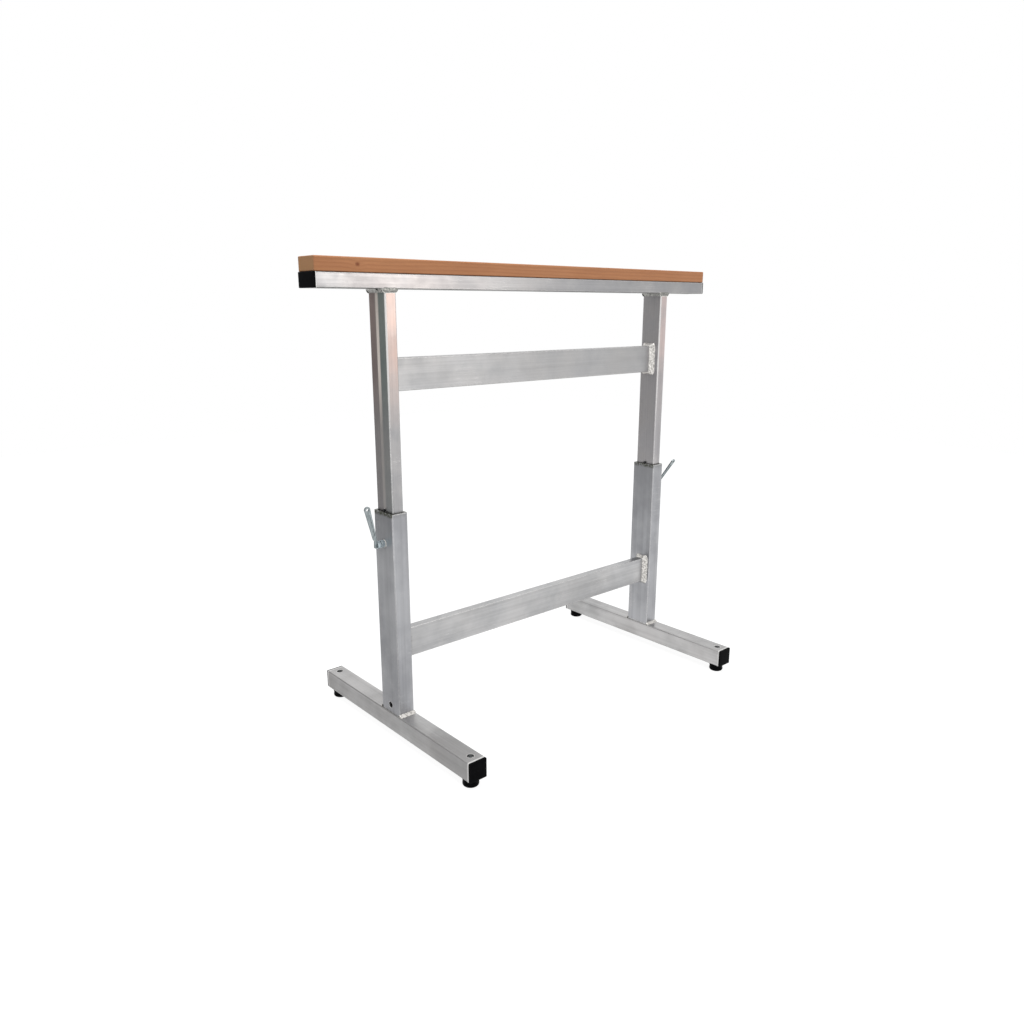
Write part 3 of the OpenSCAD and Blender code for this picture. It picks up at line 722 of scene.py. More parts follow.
def dressNode(node, ending, material, slot, edge):
    # keeps the construction's own shape, with eased edges
    shape = copyOf(node)
    easeEdges(shape, edge)
    addPiece(shape, node + ending, [node], material)


def cutAcross(shape, place, way, keepBeyond=True):
    # keeps only what lies beyond the plane, or else both sides
    everything = shape.verts[:] + shape.edges[:] + shape.faces[:]
    bmesh.ops.bisect_plane(shape, geom=everything, dist=1e-7, plane_co=place, plane_no=way,
                           clear_inner=keepBeyond)


def closeHoles(shape):
    bmesh.ops.holes_fill(shape, edges=[e for e in shape.edges if e.is_boundary], sides=0)


def spun(profile, steps, angle=math.tau, closed=False, **settings):
    # a profile of (radius, height) swept about Z
    shape = bmesh.new()
    verts = [shape.verts.new((radius, 0.0, height)) for radius, height in profile]
    ends = verts[1:] + (verts[:1] if closed else [])
    edges = [shape.edges.new(pair) for pair in zip(verts, ends)]
    bmesh.ops.spin(shape, geom=verts + edges, cent=(0, 0, 0), axis=(0, 0, 1), angle=angle, steps=steps,
                   **settings)
    return shape


def turned(profile, steps=48):
    # a profile that doesn't end on the axis leaves a rim open
    shape = spun(profile, steps, use_merge=True)
    bmesh.ops.remove_doubles(shape, verts=shape.verts[:], dist=1e-7)
    bmesh.ops.recalc_face_normals(shape, faces=shape.faces[:])
    return shape


def pour(source, target, matrix):
    # adds one shape, moved, to another
    mesh = bpy.data.meshes.new("poured")
    source.transform(matrix)
    source.to_mesh(mesh)
    source.free()
    target.from_mesh(mesh)
    bpy.data.meshes.remove(mesh)


# Screw threads: a flank profile turned once round while it climbs by one pitch
threadLook = {
    "stem": {"pitch": 0.0015, "depth": 0.0009, "lead": 0.0012, "steps": 24},
    "clamp": {"pitch": 0.00125, "depth": 0.0007, "lead": 0.0008, "steps": 24},
    "timber": {"pitch": 0.0018, "depth": 0.0006, "lead": 0.0042, "steps": 16},
}
threadFlanks = ((0.0, 0.0), (0.38, 1.0), (0.5, 1.0), (0.88, 0.0))  # shares of the pitch and of the depth
leadCut = 1.2  # how deep the rod's ends are chamfered, in thread depths


def narrow(vert, share):
    vert.co.x *= share
    vert.co.y *= share


def threadedRod(radius, length, pitch, depth, lead, steps):
    profile = [(radius - depth * (1 - out), (turn + up) * pitch)
               for turn in range(-1, math.ceil(length / pitch) + 1) for up, out in threadFlanks]
    shape = spun(profile, steps, dvec=(0, 0, pitch / steps))
    bmesh.ops.remove_doubles(shape, verts=shape.verts[:], dist=2e-6)
    cutAcross(shape, (0, 0, 0), (0, 0, 1))
    cutAcross(shape, (0, 0, length), (0, 0, -1))
    for vert in shape.verts:
        out = math.hypot(vert.co.x, vert.co.y)
        fromEnd = min(vert.co.z, length - vert.co.z)
        most = radius - depth * leadCut * (1 - min(fromEnd / lead, 1.0))
        if out > most:
            narrow(vert, most / out)
    return shape


def closeRims(shape, socket=None):
    # caps the open ends along Z; the upper one may have a hexagon socket of (width across flats, depth)
    if socket:
        top = max(v.co.z for v in shape.verts)
        rim = [e for e in shape.edges if e.is_boundary and all(abs(v.co.z - top) < 1e-6 for v in e.verts)]
        key = bmesh.ops.create_circle(shape, segments=6, radius=socket[0] / 2 / math.cos(math.radians(30)))
        bmesh.ops.translate(shape, vec=(0, 0, top), verts=key["verts"])
        keyEdges = list({e for v in key["verts"] for e in v.link_edges})
        bmesh.ops.triangle_fill(shape, edges=rim + keyEdges, use_beauty=True, normal=(0, 0, 1))
        grown = bmesh.ops.extrude_edge_only(shape, edges=keyEdges)["geom"]
        low = [v for v in grown if isinstance(v, bmesh.types.BMVert)]
        bmesh.ops.translate(shape, vec=(0, 0, -socket[1]), verts=low)
    closeHoles(shape)
    bmesh.ops.recalc_face_normals(shape, faces=shape.faces[:])


# Weld beads: rippled fillets, each laid along a way round what it joins
beadLook = {
    "step": 0.0006,  # between stations
    "ribs": 12,
    "sink": 0.00025,  # of the feet into what they join
    "ripple": 0.0002,
    "rippleMiddle": 0.6,  # the share of a ripple that stands below the crown
    "pitch": 0.0017,
    "bow": 0.9,  # how far a ripple bends, in ripples
    "sway": (0.35, 420.0),  # uneven spacing, size and crown: how much, and how fast each changes
    "lump": (0.1, 170.0),
    "crownDrift": (0.25, 260.0),
    "flatness": 0.9,
    "tail": 0.0035,  # length of the rounded ends
    "corner": 0.004,  # how far before a rail's corner a bead begins to turn out
}


def layBead(shape, wayAt, length, crown, closed=False, tail=beadLook["tail"]):
    look = beadLook

    def drift(name, root):
        share, scale = look[name]
        return share * noise.noise(root * scale)

    def risen(part):
        # a quarter circle's height, part of the way in
        return math.sqrt(max(0.0, 1 - (1 - part) ** 2))

    ripples = max(1, round(length / look["pitch"]))
    tail = min(tail, length / 2)
    laid = bmesh.ops.create_grid(shape, x_segments=max(12, round(length / look["step"])),
                                 y_segments=look["ribs"], size=1.0)["verts"]
    for vert in laid:
        along = (vert.co.x + 1) / 2
        across = ((vert.co.y + 1) / 2 * look["ribs"] - 1) / (look["ribs"] - 2)
        root, first, second, out = wayAt(along)
        under = root - (first.normalized() + second.normalized()) * look["sink"]
        if across < -0.01 or across > 1.01:
            vert.co = under
            continue
        fromEnd = min(along, 1 - along) * length
        size = 1.0 if closed or fromEnd > tail else risen(fromEnd / tail)
        size *= 1 + drift("lump", root)
        turn = across * math.pi / 2
        phase = along * ripples + look["bow"] * (2 * across - 1) ** 2 + drift("sway", root)
        scallop = risen(2 * (phase % 1.0))
        flat = first * (1 - across) + second * across
        arched = first * math.cos(turn) + second * math.sin(turn)
        height = crown * (1 + drift("crownDrift", root)) + look["ripple"] * (scallop - look["rippleMiddle"])
        bulge = out * (math.sin(across * math.pi) * height)
        vert.co = under + (flat * look["flatness"] + arched * (1 - look["flatness"]) + bulge) * size


def layStraight(shape, start, end, first, second, crown, out=None, inset=0.0, **settings):
    # along a straight corner, with one leg on each face
    start, end, first, second = (Vector(given) for given in (start, end, first, second))
    length = (end - start).length
    shift = (end - start) * (inset / length)
    start, end = start + shift, end - shift
    out = Vector(out or first.normalized() + second.normalized()).normalized()
    layBead(shape, lambda along: (start.lerp(end, along), first, second, out), length, crown, **settings)


def walkRect(width, height, ease, share):
    # round a rectangle from its upper left corner: the place and which way is out, turned at the corners
    place = Vector((-width / 2, height / 2))
    left = share * 2 * (width + height)
    for side in (Vector((width, 0)), Vector((0, -height)), Vector((-width, 0)), Vector((0, height))):
        run = min(left, side.length)
        place = place + side * (run / side.length)
        left -= run
    beyondX = max(abs(place.x) - width / 2 + ease, 0.0)
    beyondY = max(abs(place.y) - height / 2 + ease, 0.0)
    out = Vector((math.copysign(beyondX, place.x), math.copysign(beyondY, place.y)))
    return place, out.normalized()


def roundRail(node, side, leg, reach):
    # the way round a rail's end; side is -1 at its left end and 1 at its right end
    low, high, middle = boxOf(node)
    width, height = high.y - low.y, high.z - low.z
    first = Vector((-side * leg, 0, 0))

    def wayAt(along):
        place, out = walkRect(width, height, beadLook["corner"], along)
        root = Vector((high.x if side > 0 else low.x, middle.y + place.x, middle.z + place.y))
        out = Vector((0, out.x, out.y))
        rise = reach[1] + (reach[0] - reach[1]) * abs(out.y)
        return root, first, out * rise, (out + first.normalized()).normalized()
    return wayAt, 2 * (width + height)


def layRailBeads(shape, node, look):
    for side in (-1, 1):
        layBead(shape, *roundRail(node, side, *look["railLeg"]), look["crown"], closed=True)


frameBead = {
    "beamLeg": (0.0074, 0.0066),  # along the beam and down the upright
    "beamCrown": -0.0004,  # hollow
    "beamInset": 0.0004,
    "faceBand": (0.0038, 0.0068),  # up the beam's face and down the upright's
    "faceOver": 0.0045,  # how far a bead runs past the upright's sides
    "faceCrown": 0.0010,
    "faceTail": 0.0065,
    "railLeg": (0.0085, (0.0105, 0.0062)),  # along the rail; out from its sides and its edges
    "crown": 0.0002,
    "pitRadius": 0.0021,
    "pitDepth": 0.0024,
    "pitWay": (0.8, 0.0, 0.6),  # into the bead
}


def layFrameBeads():
    look = frameBead
    shape = bmesh.new()
    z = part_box("beam_tube")[0].z
    for side in legSides:
        low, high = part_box(side + "_upright")
        for way, x in ((-1, low.x), (1, high.x)):
            layStraight(shape, (x, low.y, z), (x, high.y, z), (way * look["beamLeg"][0], 0, 0),
                        (0, 0, -look["beamLeg"][1]), look["beamCrown"], inset=look["beamInset"])
        for way, y in ((-1, low.y), (1, high.y)):
            layStraight(shape, (low.x - look["faceOver"], y, z), (high.x + look["faceOver"], y, z),
                        (0, 0, look["faceBand"][0]), (0, 0, -look["faceBand"][1]), look["faceCrown"],
                        out=(0, way, 0), tail=look["faceTail"])
    layRailBeads(shape, "upper_rail", look)
    return shape


def dent(shape, place, way, radius, depth):
    for vert in shape.verts:
        near = 1 - (vert.co - place).length / radius
        if near > 0:
            vert.co += way * (depth * near * (2 - near))


def makeFrameWelds():
    look = frameBead
    shape = layFrameBeads()
    pit = placeOn(imagePoint["weldPit"], BVHTree.FromBMesh(shape))
    dent(shape, pit, Vector(look["pitWay"]), look["pitRadius"], look["pitDepth"])
    addPiece(shape, "frameWeldBeads", ["frame_welds"], makeWeldMetal("weldMetalFrame", pit))
    return pit


baseBead = {
    "footLeg": (0.0062, 0.0052),  # along the foot and up the sleeve
    "footOver": 0.0022,  # how far a bead runs past the sleeve's sides
    "railLeg": (0.0085, (0.0100, 0.0060)),
    "nutLeg": (0.0013, 0.0013),
    "crown": 0.0003,
    "nutCrown": 0.0002,
    "nutRound": 1.05,  # the bead's length round a nut, in turns of its inner circle
}


def roundNut(node):
    # the way round a hexagon nut, on the face that meets the sleeve
    low, high, middle = boxOf(node)
    side = math.copysign(1, low.x)
    axis = Vector((side, 0, 0))
    face = low.x if side > 0 else high.x
    flat = (high.y - low.y) / 2

    def wayAt(along):
        angle = along * math.tau
        radius = flat / math.cos(angle % (math.pi / 3) - math.pi / 6)
        out = Vector((0, math.sin(angle), math.cos(angle)))
        root = Vector((face, middle.y, middle.z)) + out * radius
        return root, out * baseBead["nutLeg"][0], axis * baseBead["nutLeg"][1], (out + axis).normalized()
    return wayAt, math.tau * flat * baseBead["nutRound"]


def makeBaseWelds():
    look = baseBead
    shape = bmesh.new()
    for side in legSides:
        low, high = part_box(side + "_sleeve")
        for way, y in ((-1, low.y), (1, high.y)):
            layStraight(shape, (low.x - look["footOver"], y, low.z), (high.x + look["footOver"], y, low.z),
                        (0, way * look["footLeg"][0], 0), (0, 0, look["footLeg"][1]), look["crown"])
        layBead(shape, *roundNut(side + "_clamp_nut"), look["nutCrown"], closed=True)
    layRailBeads(shape, "lower_rail", look)
    addPiece(shape, "baseWeldBeads", ["base_welds"], makeWeldMetal("weldMetalBase"))


# Tubes: saw-cut ends and drilled holes, deburred
tubeLook = {"deburr": 0.0005}
tubeFinish = {
    "beam_tube": "beam", "upper_rail": "rail", "lower_rail": "rail",
    "left_upright": "leftUpright", "right_upright": "rightUpright",
    "left_sleeve": "sleeve", "right_sleeve": "sleeve",
    "left_foot_tube": "foot", "right_foot_tube": "foot",
}

for node, kind in tubeFinish.items():
    dressNode(node, "_dressed", aluminium[kind], "extrusion", tubeLook["deburr"])
print("tubes ready")

pitPlace = makeFrameWelds()
makeBaseWelds()
print("welds ready")


battenLook = {
    "ease": 0.0006,
    "easeOver": 30,  # degrees
    "unevenness": 0.00018,
    "waves": (9.0, 40.0, 60.0),
    "flatBase": 0.001,  # the lowest part that stays flat on the beam
    "cuts": 60,
}


def makeBatten():
    look = battenLook
    shape = copyOf("timber_batten")
    easeEdges(shape, look["ease"], look["easeOver"])
    low, high, middle = boxOf("timber_batten")
    for step in range(1, look["cuts"]):
        x = low.x + (high.x - low.x) * step / look["cuts"]
        cutAcross(shape, (x, 0, 0), (1, 0, 0), keepBeyond=False)
    for vert in shape.verts:
        if vert.co.z > low.z + look["flatBase"]:
            uneven = look["unevenness"] * (0.5 + 0.5 * noise.noise(vert.co * Vector(look["waves"])))
            vert.co.z -= uneven
            vert.co.y -= math.copysign(uneven, vert.co.y)
    knot = placeOn(imagePoint["timberKnot"], BVHTree.FromBMesh(shape))
    addPiece(shape, "timberBatten", ["timber_batten"], makeTimber(knot, middle))
    return knot


knotPlace = makeBatten()


# Moulded caps: a softly domed head with a gate mark in its middle
capLook = {
    "ease": 0.0007,
    "rim": 0.0022,
    "slope": 0.005,  # where the dome is full, in from the sides
    "rise": 0.0005,
    "gate": 0.0016,
    "gateTaper": 0.8,
    "gateDepth": 0.0004,
}


def makeCap(node):
    look = capLook
    shape = copyOf(node)
    middle = boxOf(node)[2]
    outward = Vector((math.copysign(1, middle.x), 0, 0))
    if "foot" in node:
        outward = Vector((0, math.copysign(1, middle.y), 0))
    head = max((f for f in shape.faces if f.normal.dot(outward) > 0.99),
               key=lambda f: (f.calc_center_median().dot(outward), f.calc_area()))
    centre = head.calc_center_median()
    for inward, rise in ((look["rim"], 0.0), (look["slope"], look["rise"])):
        # a hair's inset makes the new edges, then each is scaled in by the same width
        bmesh.ops.inset_region(shape, faces=[head], thickness=1e-5, use_even_offset=True)
        reach = [max(abs(v.co[axis] - centre[axis]) for v in head.verts) for axis in range(3)]
        share = [1 - inward / far if far > inward else 1.0 for far in reach]
        bmesh.ops.scale(shape, vec=share, space=Matrix.Translation(-centre), verts=head.verts[:])
        bmesh.ops.translate(shape, vec=outward * rise, verts=head.verts[:])
    centre = head.calc_center_median()
    easeEdges(shape, look["ease"])
    gate = bmesh.new()
    bmesh.ops.create_cone(gate, segments=20, radius1=look["gate"], radius2=look["gate"] * look["gateTaper"],
                          depth=look["gateDepth"] * 2, cap_ends=True, cap_tris=False)
    pour(gate, shape, Matrix.Translation(centre) @ outward.to_track_quat("Z", "Y").to_matrix().to_4x4())
    addPiece(shape, node + "_moulded", [node], blackPlastic)


def makeAll(ending, make):
    for node in cadNode:
        if node.endswith(ending):
            make(node)


makeAll("_cap", makeCap)
print("batten and caps ready")


# Pads: a turned foot with a grip band round it and rings underneath
padLook = {
    "topEdge": 0.0012,
    "edge": 0.004,
    "band": (0.0062, 0.0115),  # its heights
    "bandDepth": 0.0005,
    "bandEase": 0.0003,
    "rings": (0.75, 0.5, 0.25),
    "ring": 0.0006,
    "seatEase": 0.0004,
    "stemGap": (0.00005, 0.0003),  # round the stem and under it
}


def roundedEdge(radius, height, ease, way, turns):
    # a quarter round; way is -1 for an upper edge and 1 for a lower one
    return [(radius - ease * (1 - math.cos(turn)), height + way * ease * (1 - math.sin(turn)))
            for turn in map(math.radians, turns)]


def padProfile(radius, height, seatRadius, seat):
    look = padLook
    inner = radius - look["bandDepth"]
    start, end = look["band"]
    profile = [(0.0, height - seat), (seatRadius, height - seat), (seatRadius, height - look["seatEase"]),
               (seatRadius + look["seatEase"], height)]
    profile += roundedEdge(radius, height, look["topEdge"], -1, range(90, -1, -30))
    profile += [(radius, end + look["bandEase"]), (inner, end), (inner, start),
                (radius, start - look["bandEase"])]
    profile += roundedEdge(radius, 0.0, look["edge"], 1, range(0, 91, 15))
    for share in look["rings"]:
        ring = (radius - look["edge"]) * share
        profile += [(ring + look["ring"], 0.0), (ring, look["ring"]), (ring - look["ring"], 0.0)]
    return profile + [(0.0, 0.0)]


def makePad(node):
    low, high, middle = boxOf(node)
    stemLow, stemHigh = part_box(node.replace("pad", "stem"))
    besideStem, underStem = padLook["stemGap"]
    profile = padProfile((high.x - low.x) / 2, high.z - low.z, (stemHigh.x - stemLow.x) / 2 + besideStem,
                         high.z - stemLow.z + underStem)
    shape = turned(profile)
    bmesh.ops.translate(shape, vec=(middle.x, middle.y, low.z), verts=shape.verts[:])
    addPiece(shape, node + "_moulded", [node], blackPlastic)


makeAll("_pad", makePad)


stemLook = {"key": (0.005, 0.006)}


def makeStem(node):
    low, high, middle = boxOf(node)
    shape = threadedRod((high.x - low.x) / 2, high.z - low.z, **threadLook["stem"])
    closeRims(shape, stemLook["key"])
    bmesh.ops.translate(shape, vec=(middle.x, middle.y, low.z), verts=shape.verts[:])
    addPiece(shape, node + "_threaded", [node], steel["stemZinc"])


makeAll("_stem", makeStem)
print("levellers ready")


clampLook = {
    "headHeight": 0.0065,
    "headEase": 0.0003,
    "screwRadius": 0.004,
    "overlap": 0.0003,  # of one turned length with the next
    "spigot": (0.002, 0.002),  # radius and length
    "spigotEase": 0.0003,
    "spigotRoot": 0.0005,  # how far its cone goes into the rod
    "leverEase": 0.0005,
    "leverThickness": 0.003,
    "tipRadius": 0.006,
    "rootTail": 0.0045,  # of the weld below the screw's middle
    "rootHead": 0.0055,
    "weldLeg": 0.0014,
    "weldCrown": 0.0002,
    "leverTilt": {"left": 3.0, "right": 29.0},
}


def screwEnds(side):
    # which way is out, the screw's outer and inner ends, and its middle
    low, high, middle = boxOf(side + "_clamp_screw")
    if side == "right":
        return 1, high.x, low.x, middle
    return -1, low.x, high.x, middle


def makeClampScrew(side):
    look = clampLook
    node = side + "_clamp_screw"
    way, outer, inner, middle = screwEnds(side)
    shape = copyOf(node)
    headStart = outer - way * look["headHeight"]
    cutAcross(shape, (headStart - way * 1e-5, 0, 0), (way, 0, 0))
    closeHoles(shape)
    easeEdges(shape, look["headEase"])
    radius, spigotLength = look["spigot"]
    shankStart = inner + way * spigotLength
    shankLength = abs(headStart - shankStart) + look["overlap"]
    rod = threadedRod(look["screwRadius"], shankLength, **threadLook["clamp"])
    closeRims(rod)
    toAxis = Matrix.Rotation(way * math.pi / 2, 4, "Y")
    pour(rod, shape, Matrix.Translation((shankStart, middle.y, middle.z)) @ toAxis)
    spigot = turned([(0, 0), (radius - look["spigotEase"], 0), (radius, look["spigotEase"]),
                     (radius, spigotLength + look["overlap"]), (0, spigotLength + look["spigotRoot"])],
                    steps=24)
    pour(spigot, shape, Matrix.Translation((inner, middle.y, middle.z)) @ toAxis)
    addPiece(shape, node + "_threaded", [node], steel["brightZinc"])


def makeLeverWeld(side):
    # two small beads between the lever's root and the screw's head
    look = clampLook
    way, face, _, middle = screwEnds(side)
    shape = bmesh.new()
    for front in (-1, 1):
        y = front * look["leverThickness"] / 2
        layStraight(shape, (face, y, -look["rootTail"]), (face, y, look["rootHead"]),
                    (0, front * look["weldLeg"], 0), (way * look["weldLeg"], 0, 0), look["weldCrown"])
    tilt = Matrix.Rotation(math.radians(look["leverTilt"][side]), 4, "X")
    shape.transform(Matrix.Translation((0, middle.y, middle.z)) @ tilt)
    addPiece(shape, side + "_lever_weld", [], steel["steelWeld"], side + "_clamp_handle")


for side in legSides:
    makeClampScrew(side)
for side in legSides:
    dressNode(side + "_clamp_lever", "_pressed", steel["leverZinc"], "zinc", clampLook["leverEase"])
for side in legSides:
    makeLeverWeld(side)
print("clamps ready")


# Stop pins: slotted rolled pins with chamfered ends
pinLook = {"chamfer": 0.0005, "wall": 0.0012, "slot": 22.0, "steps": 36}


def makePin(node):
    look = pinLook
    low, high, middle = boxOf(node)
    outer = (high.y - low.y) / 2
    eased = outer - look["chamfer"]
    inner = outer - look["wall"]
    length = high.x - low.x
    profile = [(inner, 0.0), (eased, 0.0), (outer, look["chamfer"]), (outer, length - look["chamfer"]),
               (eased, length), (inner, length)]
    shape = spun(profile, look["steps"], math.radians(360 - look["slot"]), closed=True)
    closeHoles(shape)
    turn = Matrix.Rotation(math.pi / 2, 4, "Y") @ Matrix.Rotation(math.pi / 2, 4, "Z")
    shape.transform(Matrix.Translation((low.x, middle.y, middle.z)) @ turn)
    addPiece(shape, node + "_rolled", [node], steel["darkSteel"])


makeAll("_pin", makePin)


# Wood screws: coarse thread to a point, a pan head below with a hexagon socket
woodScrewLook = {
    "radius": 0.002,
    "point": (0.004, 0.15),  # its length, and how thick its end stays
    "headRadius": 0.0044,
    "headHeight": 0.0024,
    "headShape": ((0.0, 0.0), (1.0, 0.0), (1.0, 0.35), (0.93, 0.7), (0.75, 0.93), (0.55, 1.0)),
    "key": (0.003, 0.0016),
}


def makeWoodScrews():
    look = woodScrewLook
    low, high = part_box("batten_screws")
    length = high.z - low.z - look["headHeight"]
    pointLength, blunt = look["point"]
    shape = bmesh.new()
    # the screws stand where the construction's tips do
    screwPlaces = sorted({round(v.co.x, 2) for v in cadNode["batten_screws"].data.vertices
                          if abs(v.co.y) < 0.0005 and v.co.z > high.z - 0.001})
    for x in screwPlaces:
        seat = Matrix.Translation((x, 0, low.z + look["headHeight"]))
        rod = threadedRod(look["radius"], length, **threadLook["timber"])
        for vert in rod.verts:
            narrow(vert, min(1.0, (length - vert.co.z) / pointLength * (1 - blunt) + blunt))
        closeRims(rod)
        pour(rod, shape, seat)
        head = turned([(look["headRadius"] * out, look["headHeight"] * up) for out, up in look["headShape"]],
                      steps=32)
        closeRims(head, look["key"])
        pour(head, shape, seat @ Matrix.Rotation(math.pi, 4, "X"))
    addPiece(shape, "battenScrews_threaded", ["batten_screws"], steel["brightZinc"])


makeWoodScrews()


# The other fittings keep the construction's shape with eased edges
fittingFinish = {
    "glide": (blackPlastic, "black_plastic", 0.0005),
    "tip": (brass, "brass", 0.0004),
    "insert": (steel["brightZinc"], "zinc", 0.0003),
    "nut": (steel["brightZinc"], "zinc", 0.0003),
}

for node in cadNode:
    kind = node.split("_")[-1]
    if kind in fittingFinish:
        dressNode(node, "_dressed", *fittingFinish[kind])
print("fittings ready")


# Studio: white ground, soft boxes, and cards that only reflections see
def grey(tone):
    return tone, tone, tone, 1.0


def litBy(tree, white, other):
    # white where the camera, a reflection or glass looks, else the plain level
    path = addNode(tree, "LightPath").outputs
    looked = maths(tree, "MAXIMUM", path["Is Camera Ray"], path["Is Glossy Ray"])
    seen = maths(tree, "MAXIMUM", looked, path["Is Transmission Ray"])
    return mixColour(tree, seen, grey(other), grey(white))


studioLook = {
    "room": (1.0, 0.62),  # as seen, and as it lights the object
    "floorGlow": (0.9, 0.3),
    "floorTone": 0.24,
    "floorSize": 8.0,
}

softBoxes = {
    "keyLight": {"place": (0.9, -2.1, 1.15), "aim": (-0.3, 0.0, 0.7), "size": (0.9, 0.9),
                 "watts": 5.0, "tint": (1.0, 0.96, 0.93)},
    "topLight": {"place": (-0.6, -0.4, 2.6), "aim": (0.0, 0.0, 0.5), "size": (1.8, 1.8),
                 "watts": 24.0, "tint": (1.0, 1.0, 1.0)},
}

cards = {
    "cornerCard": {"tone": 1.6, "place": (-2.0, -1.3, 0.8), "aim": (0.0, 0.0, 0.6), "size": (0.7, 1.8)},
    "backLeftCard": {"tone": 0.39, "place": (-1.1, 0.85, 0.75), "aim": (-0.3, 0.0, 0.6), "size": (1.5, 1.5)},
    "frontRightCard": {"tone": 0.8, "place": (2.3, -1.5, 0.9), "aim": (0.4, 0.0, 0.8), "size": (1.7, 1.7)},
    "lowLeftCard": {"tone": 0.74, "place": (-0.85, 0.1, 0.002), "aim": (-0.85, 0.1, 1.0),
                    "size": (0.94, 1.6)},
}


def turnTo(place, aim, front):
    return (Vector(aim) - Vector(place)).to_track_quat(front, "Y").to_matrix().to_4x4()


def makeRoom():
    world = bpy.data.worlds.new("room")
    bpy.context.scene.world = world
    world.use_nodes = True
    tree = world.node_tree
    tree.links.new(litBy(tree, *studioLook["room"]), tree.nodes["Background"].inputs["Color"])


def addSheet(name, size, matrix, makeSurface):
    shape = bmesh.new()
    bmesh.ops.create_grid(shape, x_segments=1, y_segments=1, size=0.5)
    bmesh.ops.scale(shape, vec=(*size, 1.0), verts=shape.verts[:])
    shape.transform(matrix)
    mesh = bpy.data.meshes.new(name)
    shape.to_mesh(mesh)
    shape.free()
    sheet = bpy.data.objects.new(name, mesh)
    bpy.context.scene.collection.objects.link(sheet)
    material = bpy.data.materials.new(name)
    material.use_nodes = True
    tree = material.node_tree
    tree.nodes.remove(tree.nodes["Principled BSDF"])
    tree.links.new(makeSurface(tree).outputs[0], tree.nodes["Material Output"].inputs["Surface"])
    mesh.materials.append(material)
    sheet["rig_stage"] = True
    return sheet


def floorSurface(tree):
    matt = addNode(tree, "BsdfDiffuse", {"Color": grey(studioLook["floorTone"])})
    glow = addNode(tree, "Emission", {"Color": litBy(tree, *studioLook["floorGlow"])})
    return addNode(tree, "AddShader", {0: matt.outputs[0], 1: glow.outputs[0]})


def addCard(name, place, aim, size, tone):
    matrix = Matrix.Translation(place) @ turnTo(place, aim, "Z")
    card = addSheet(name, size, matrix, lambda tree: addNode(tree, "Emission", {"Color": grey(tone)}))
    card.visible_camera = False
    card.visible_diffuse = False
    card.visible_shadow = False


def addSoftBox(name, place, aim, size, watts, tint):
    data = bpy.data.lights.new(name, "AREA")
    data.shape = "RECTANGLE"
    data.size, data.size_y = size
    data.energy = watts
    data.color = tint
    lamp = bpy.data.objects.new(name, data)
    lamp.matrix_world = Matrix.Translation(place) @ turnTo(place, aim, "-Z")
    bpy.context.scene.collection.objects.link(lamp)


makeRoom()
addSheet("floor", (studioLook["floorSize"],) * 2, Matrix(), floorSurface)
for name, look in softBoxes.items():
    addSoftBox(name, **look)
for name, look in cards.items():
    addCard(name, **look)
bpy.context.scene.view_settings.view_transform = "Standard"
print("studio ready")


# Where the image points lie on the finished part
pointLook = {"underBead": 0.0025, "sideHoleLift": 0.015, "slack": 0.002}

cornerPlace = {
    "timberNearTop": ("timber_batten", 0, 0, 1),
    "timberFarTop": ("timber_batten", 1, 0, 1),
    "leftUprightTop": ("left_upright", 0, 0, 1),
    "rightUprightTop": ("right_upright", 0, 0, 1),
    "leftSleeveTop": ("left_sleeve", 0, 0, 1),
    "rightSleeveTop": ("right_sleeve", 0, 0, 1),
    "leftFrontCapTop": ("left_front_foot_cap", 1, 0, 1),
    "leftRearFootTop": ("left_rear_foot_cap", 0, 1, 1),
}

# the frame's axis, and whether its last place counts
farthest = {
    "objectLeft": (0, False),
    "objectRight": (0, True),
    "objectTop": (1, False),
    "objectBottom": (1, True),
}


def cornerOf(node, *ends):
    # ends: 0 for the low and 1 for the high side in x, y and z
    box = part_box(node)
    return Vector(box[end][axis] for axis, end in enumerate(ends))


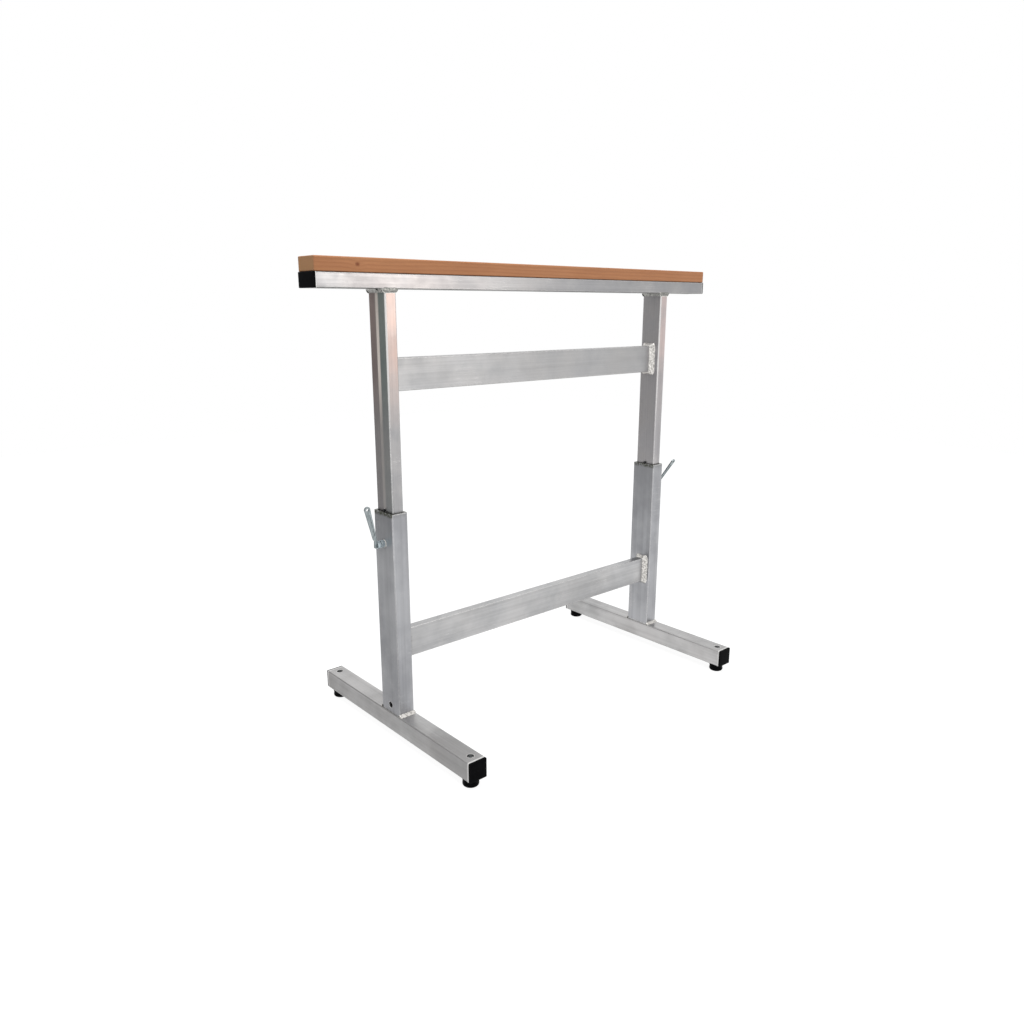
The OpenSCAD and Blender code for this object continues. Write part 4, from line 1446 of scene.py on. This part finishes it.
def leverEye(side):
    low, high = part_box(side + "_clamp_lever")
    tilt = math.radians(clampLook["leverTilt"][side])
    tip, half = clampLook["tipRadius"], clampLook["leverThickness"] / 2
    across = high.x - tip if side == "right" else low.x + tip
    return Vector((across, low.y + tip * math.sin(tilt) + half * math.cos(tilt),
                   high.z - tip * math.cos(tilt) - half * math.sin(tilt)))


def featurePlaces():
    places = {name: cornerOf(*corner) for name, corner in cornerPlace.items()}
    for side in legSides:
        places[side + "UprightTop"].z -= pointLook["underBead"]
        places[side + "LeverEye"] = leverEye(side)
    keyHole = boxOf("left_front_stem")[2]
    keyHole.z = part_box("left_foot_tube")[1].z
    sideHole = cornerOf("left_sleeve", 0, 0, 0) + Vector((0.0, 0.0, pointLook["sideHoleLift"]))
    sideHole.y = 0.0
    railEnd = (cornerOf("upper_rail", 1, 0, 0) + cornerOf("upper_rail", 1, 0, 1)) / 2
    railWeld = railEnd + Vector((-0.5, -0.5, 0.0)) * frameBead["railLeg"][0]
    return {**places, "sideHole": sideHole, "frontKeyHole": keyHole, "timberKnot": knotPlace,
            "weldPit": pitPlace, "upperRailWeld": railWeld}


def edgePlaces():
    # the outermost finished vertices that nothing hides
    bpy.context.view_layer.update()
    pieces = [o for o in bpy.data.objects if o.type == "MESH" and not o.hide_render and "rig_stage" not in o]
    tree = surfaceTree(pieces)
    origin = camera.matrix_world.translation
    seen = [(showsAt(v.co), v.co.copy()) for piece in pieces for v in piece.data.vertices]

    def isOpen(place):
        hit = tree.ray_cast(origin, (place - origin).normalized())
        return hit[0] is None or hit[3] > (place - origin).length - pointLook["slack"]

    places = {}
    for name, (axis, last) in farthest.items():
        inOrder = sorted(seen, key=lambda item: item[0][axis], reverse=last)
        places[name] = next(shows for shows, place in inOrder if isOpen(place))
    return places


def measurePoints():
    shown = {name: showsAt(place) for name, place in featurePlaces().items()}
    shown.update(edgePlaces())
    return {name: {axis: round(shows - wanted, 2)
                   for axis, shows, wanted in zip("xy", shown[name], point) if wanted is not None}
            for name, point in imagePoint.items()}


measurePoints()
